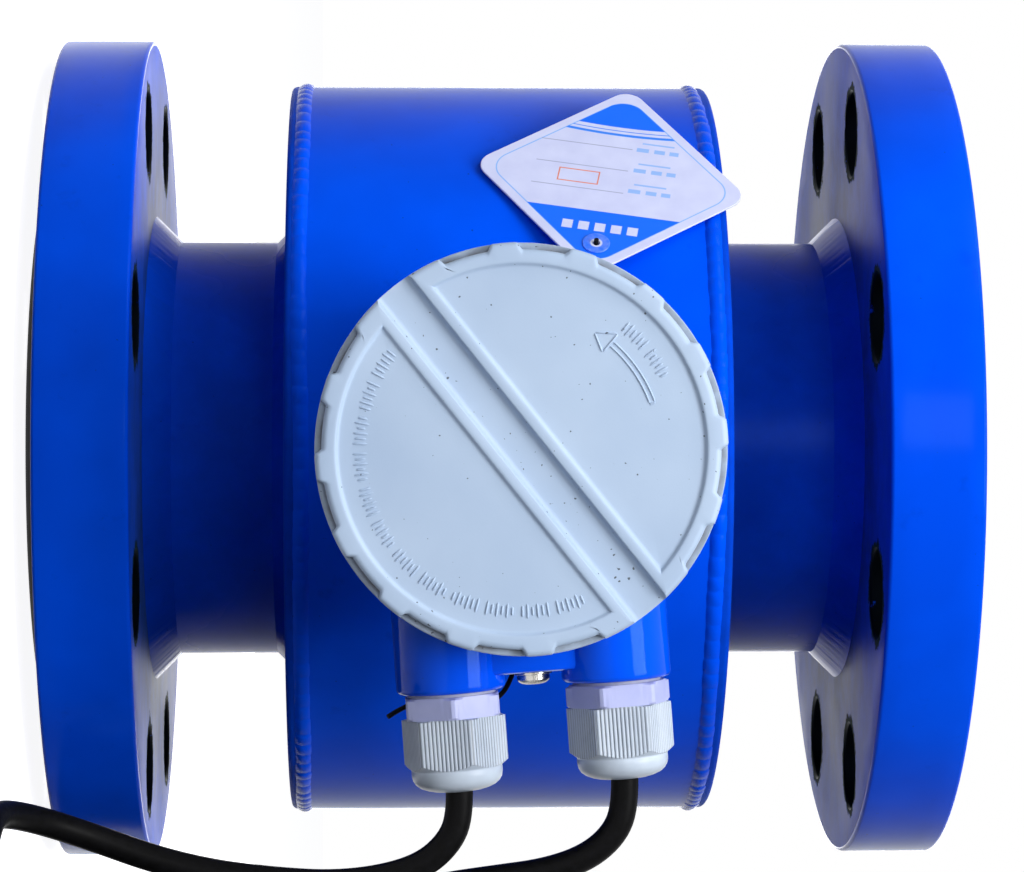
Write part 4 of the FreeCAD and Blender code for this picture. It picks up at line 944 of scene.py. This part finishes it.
def print_masks(add, place):
    """The height on the card in millimetres, and functions that draw simple shapes there."""
    spot = []
    for way in (CORNER_WAY, HOLE_WAY):
        reach = add("VectorMath", (place, tuple(way / MM)), out="Value", operation="DOT_PRODUCT")
        spot.append(worked(add, reach, ("SUBTRACT", float(way @ TAG_CENTRE))))
    x, y = spot

    def outside(x0, y0, half_x, half_y):
        """How far a point lies outside a box: the greater of the two overhangs."""
        over_x, over_y = (worked(add, value, ("SUBTRACT", middle), ("ABSOLUTE",), ("SUBTRACT", half))
                          for value, middle, half in ((x, x0, half_x), (y, y0, half_y)))
        return worked(add, over_x, ("MAXIMUM", over_y))

    def outside_diamond():
        """How far a point lies outside the inner diamond: past its sides, or past the arc
        of a corner, measured along the two directions of the sides."""
        over = [worked(add, x, (way, y), ("MULTIPLY", math.sqrt(0.5)), ("ABSOLUTE",),
                       ("SUBTRACT", FRAME_HALF - FRAME_CORNER)) for way in ("ADD", "SUBTRACT")]
        first, second = (worked(add, each, ("MAXIMUM", 0), ("POWER", 2)) for each in over)
        flat = worked(add, over[0], ("MAXIMUM", over[1]), ("MINIMUM", 0))
        return worked(add, first, ("ADD", second), ("SQRT",), ("ADD", flat),
                      ("SUBTRACT", FRAME_CORNER))

    def beyond_bow(level, curve=0.004):
        """How far a point lies beyond an arc across the card, bowed towards its middle."""
        return worked(add, x, ("MULTIPLY", x), ("MULTIPLY", curve), ("ADD", y),
                      ("SUBTRACT", level))

    def inside(reach):
        """1 within a shape and 0 beyond it, with an edge as soft as ink's."""
        return add("MapRange", (reach, -INK_EDGE, INK_EDGE, 1, 0))

    def line(reach, wide):
        """1 on a shape's outline, drawn so many millimetres wide."""
        return inside(worked(add, reach, ("ABSOLUTE",), ("SUBTRACT", wide / 2)))

    return y, outside, outside_diamond, beyond_bow, inside, line


def printed_card(add, place):
    """Coated card with offset print: crisp flat colour fields, rules and plain bars under a
    faint sheen, on white stock with a faint grain. Its shapes are placed in millimetres from
    the card's middle."""
    y, outside, outside_diamond, beyond_bow, inside, line = print_masks(add, place)
    stock = layered(add, "#C4CAEC", (cloudy(add, place, 6, detail=4), "#CDD3F2"))
    diamond = outside_diamond()
    within = inside(diamond)
    inks = [(line(diamond, 0.34), "#7FB0F0")]
    fields = [(inside(beyond_bow(-20.3)), "#0068F4"), (add("MapRange", (y, 12.4, 12.55)), "#0068F4")]
    fields += [(line(beyond_bow(level), wide), "#2F80F0") for level, wide in (
        (-18.9, 0.3), (-17.4, 0.9))]
    inks += [(worked(add, within, ("MULTIPLY", mask)), colour) for mask, colour in fields]
    inks += [(inside(outside(-8, level, 12, 0.12)), "#8D95B8") for level in (-12.4, -4.0, 4.6)]
    inks.append((line(outside(-8.3, 0.2, 5.2, 2.3), 0.35), "#D87A5C"))
    for row in (-12.6, -4.6, 3.4):
        lean = 0.3 * abs(row + 4.6) / 8
        bars = [(7.0 - lean, row, 1.6, 0.75), (11.4 - lean, row, 1.4, 0.75),
                (15.2 - lean, row, 1.2, 0.75), (10.5, row - 2.6, 4.2, 0.3)]
        inks += [(inside(outside(*bar)), "#8FB4EE") for bar in bars]
    inks += [(inside(outside(x, 18.4, 1.35, 1.5)), stock) for x in (-8.4, -4.2, 0.0, 4.2, 8.4)]
    return add("BsdfPrincipled", {
        "Base Color": layered(add, stock, *inks), "Specular IOR Level": 0.3,
        "Roughness": cloudy(add, place, 5, 0.3, 0.7, 0.35, 0.5),
        "Normal": relief(add, place, 0.6, 0.01, 0.4, 3)})


def lacquered_eyelet(add, place):
    """A stamped eyelet: white lacquer at its rolled mouth, and the card's blue, worn in
    places, over its flange, where the mark is high."""
    mark = add("Attribute", out="Fac", attribute_name="mark")
    worn = worked(add, mark, ("MULTIPLY", cloudy(add, place, 1.5, 0.3, 0.7, 0.8, 1, 3)))
    return add("BsdfPrincipled", {"Base Color": layered(add, "#D2D8F0", (worn, "#0068F4")),
                                  "Roughness": 0.35})


def make_card():
    """The card: straight lines run from the hole's edge to the rounded square outline, on
    both faces, with a thin rounded edge between."""
    half = TAG_SIDE / math.sqrt(2)
    outline = denser(rounded([(half, 0), (0, half), (-half, 0), (0, -half)], TAG_CORNER, 10), 19, 5)
    hole = np.array([0, HOLE_REACH])
    ring = hole + unit(outline - hole) * HOLE_OF_TAG
    inset = outline - unit(outline) * 0.15
    flat = ring + (inset - ring) * np.linspace(0, 1, 14)[:, None, None]
    top, under = (grid(flat[..., 0], flat[..., 1], level) for level in (TAG_THICK, 0))
    edge = np.stack([top[-1], grid(*outline.T, TAG_THICK - 0.15), grid(*outline.T, 0.15),
                     under[-1]])
    patches = [in_tag(patch) for patch in (top, under, edge, np.stack([top[0], under[0]]))]
    card = make_material("printed coated card", printed_card)
    make_piece("hang_tag_card", patches, [card], ["hang_tag"])


def make_eyelet(bore_r=0.9, flange_r=3.5, neck_r=1.95, lip=0.35):
    """The eyelet, a tube with a flange on each face of the card, turned about the hole. Its
    mark goes from 0 to 1 where the mouth meets the flange."""
    section = denser(rounded([
        (bore_r, -lip), (flange_r, -lip), (flange_r, 0.0), (neck_r, 0.0), (neck_r, TAG_THICK),
        (flange_r, TAG_THICK), (flange_r, TAG_THICK + lip), (bore_r, TAG_THICK + lip)],
        0.12, 2), 7)
    mark = np.clip((section[:, 0] - 1.35) / 0.25, 0, 1)
    turned = placed(lathe(np.column_stack([section, mark]), 64), shift=(0, HOLE_REACH, 0))
    lacquer = make_material("white lacquered eyelet", lacquered_eyelet)
    make_piece("tag_eyelet_lacquered", [in_tag(turned)], [lacquer],
               ["tag_eyelet"])


def make_string():
    """The tag's string: through the eyelet, round behind the card and down to the glands."""
    hole = TAG_CENTRE + HOLE_WAY * HOLE_REACH
    behind = hole - TAG_OUT * 1.2
    down = behind + (HOLE_WAY - TAG_OUT) * 2.4
    start = [tuple(point * MM) for point in (hole + TAG_OUT * 2.1, behind, down,
                                             down + HOLE_WAY * 5.5)]
    route = start + [
        (-0.0365, -0.1006, 0.1465), (-0.0270, -0.1066, 0.1506), (-0.0150, -0.1104, 0.1536),
        (-0.0010, -0.1124, 0.1530), (0.0130, -0.1134, 0.1494), (0.0255, -0.1146, 0.1430),
        (0.0360, -0.1176, 0.1346), (0.0454, -0.1226, 0.1276), (0.0536, -0.1290, 0.1236),
        (0.0598, -0.1334, 0.1206), (0.0622, -0.1340, 0.1140), (0.0612, -0.1336, 0.1060),
        (0.0606, -0.1346, 0.0986), (0.0642, -0.1374, 0.0930)]
    string = spline_piece("tag_string_twisted", route, STRING, cotton_string)
    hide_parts("tag_string")
    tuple(route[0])


make_card()
make_eyelet()
make_string()

# ---- finishes of the bare nodes

for material, *names in (
        (soft_iron, "near_pole_piece", "far_pole_piece", "return_yoke"),
        (enamel_wire, "near_coil", "far_coil"),
        (stainless, "left_electrode", "right_electrode", "electrode_nuts", "terminal_screws",
         "block_screws"),
        (bush_resin, "electrode_bushes"),
        (blue_enamel, "neck", "neck_weld"),
        (seal_rubber, "cover_gasket", "gland_seals"),
        (washer_rubber, "gland_washers"),
        (block_resin, "terminal_block"),
        (nut_nylon, "lower_slip_ring", "upper_slip_ring"),
        (sheath_pvc, "lower_inner_cable", "upper_inner_cable"),
        (core_colours[1], "terminal_wires", "signal_leads", "coil_leads")):
    for name in names:
        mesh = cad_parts[name].data
        mesh.materials.clear()
        mesh.materials.append(material)

# ---- stage, camera and light


def shows_white(add):
    """1 for the rays of the camera and those mirrored or let through, 0 for all others."""
    camera, mirrored, through = (add("LightPath", out=f"Is {kind} Ray")
                                 for kind in ("Camera", "Glossy", "Transmission"))
    return worked(add, camera, ("MAXIMUM", mirrored), ("MAXIMUM", through))


def studio_floor(add, place):
    """Matt paint: white with the soft shadow on it to the camera, and a mid grey to other rays, so that
    it doesn't flood the meter's lower side with light."""
    white = add("Emission", ((1, 1, 1, 1), 0.92))
    pale = add("BsdfDiffuse", ((0.8, 0.8, 0.8, 1),))
    grey = add("BsdfDiffuse", ((0.2, 0.2, 0.21, 1),))
    return add("MixShader", (shows_white(add), grey, add("AddShader", (white, pale))))


def make_stage():
    """A pale floor under the meter, in a plain white surround that fills matt surfaces with a
    dimmer cool light."""
    bpy.ops.mesh.primitive_plane_add(size=8, location=(0, 0, 0))
    floor = bpy.context.object
    floor.name = "floor"
    floor.data.materials.append(make_material("pale studio floor", studio_floor))
    world = bpy.data.worlds.new("studio surround")
    bpy.context.scene.world = world
    add = node_adder(world)
    fill = add("Background", ("#DCE4F4", 0.09))
    white = add("Background", ((1, 1, 1, 1), 1.0))
    add("OutputWorld", {"Surface": add("MixShader", (shows_white(add), fill, white))})


def add_softbox(name, place, size, watts, target=(0.0, -0.1, 0.12)):
    """A square soft light at place, aimed at the meter."""
    light = bpy.data.lights.new(name, "AREA")
    light.shape = "RECTANGLE"
    light.size, light.size_y, light.energy = size, size, watts
    lamp = linked(name, light)
    lamp.location = place
    aim = Vector(target) - Vector(place)
    lamp.rotation_euler = aim.to_track_quat("-Z", "Y").to_euler()


def make_camera(place, ahead, lens):
    """The camera looks at the cover from beyond the glands' height, with the tube lying
    across the picture: its right is up the tube and its top is away from the glands."""
    camera = linked("camera", bpy.data.cameras.new("camera"))
    camera.data.sensor_width = 36.0
    camera.data.lens = lens
    camera.data.clip_start = 0.05
    ahead = Vector(ahead).normalized()
    right = Vector((0, 0, 1)) - ahead * ahead.z
    right.normalize()
    up = right.cross(ahead)
    turn = Matrix((right, up, -ahead)).transposed()
    camera.matrix_world = Matrix.Translation(place) @ turn.to_4x4()
    bpy.context.scene.camera = camera


make_stage()
make_camera((-0.0022, -0.9597, 0.0928), (-0.00110, 1.0, 0.03643), 120.6)
add_softbox("window side softbox", (0.0, -0.74, 0.84), 0.46, 9.8)
add_softbox("upper softbox", (-0.72, -0.52, 0.76), 0.5, 4.6)
add_softbox("front softbox", (-0.16, -1.30, 0.40), 0.3, 3.2)
add_softbox("rear softbox", (0.0, 1.4, 0.35), 0.8, 7)
bpy.context.scene.view_settings.view_transform = "Standard"
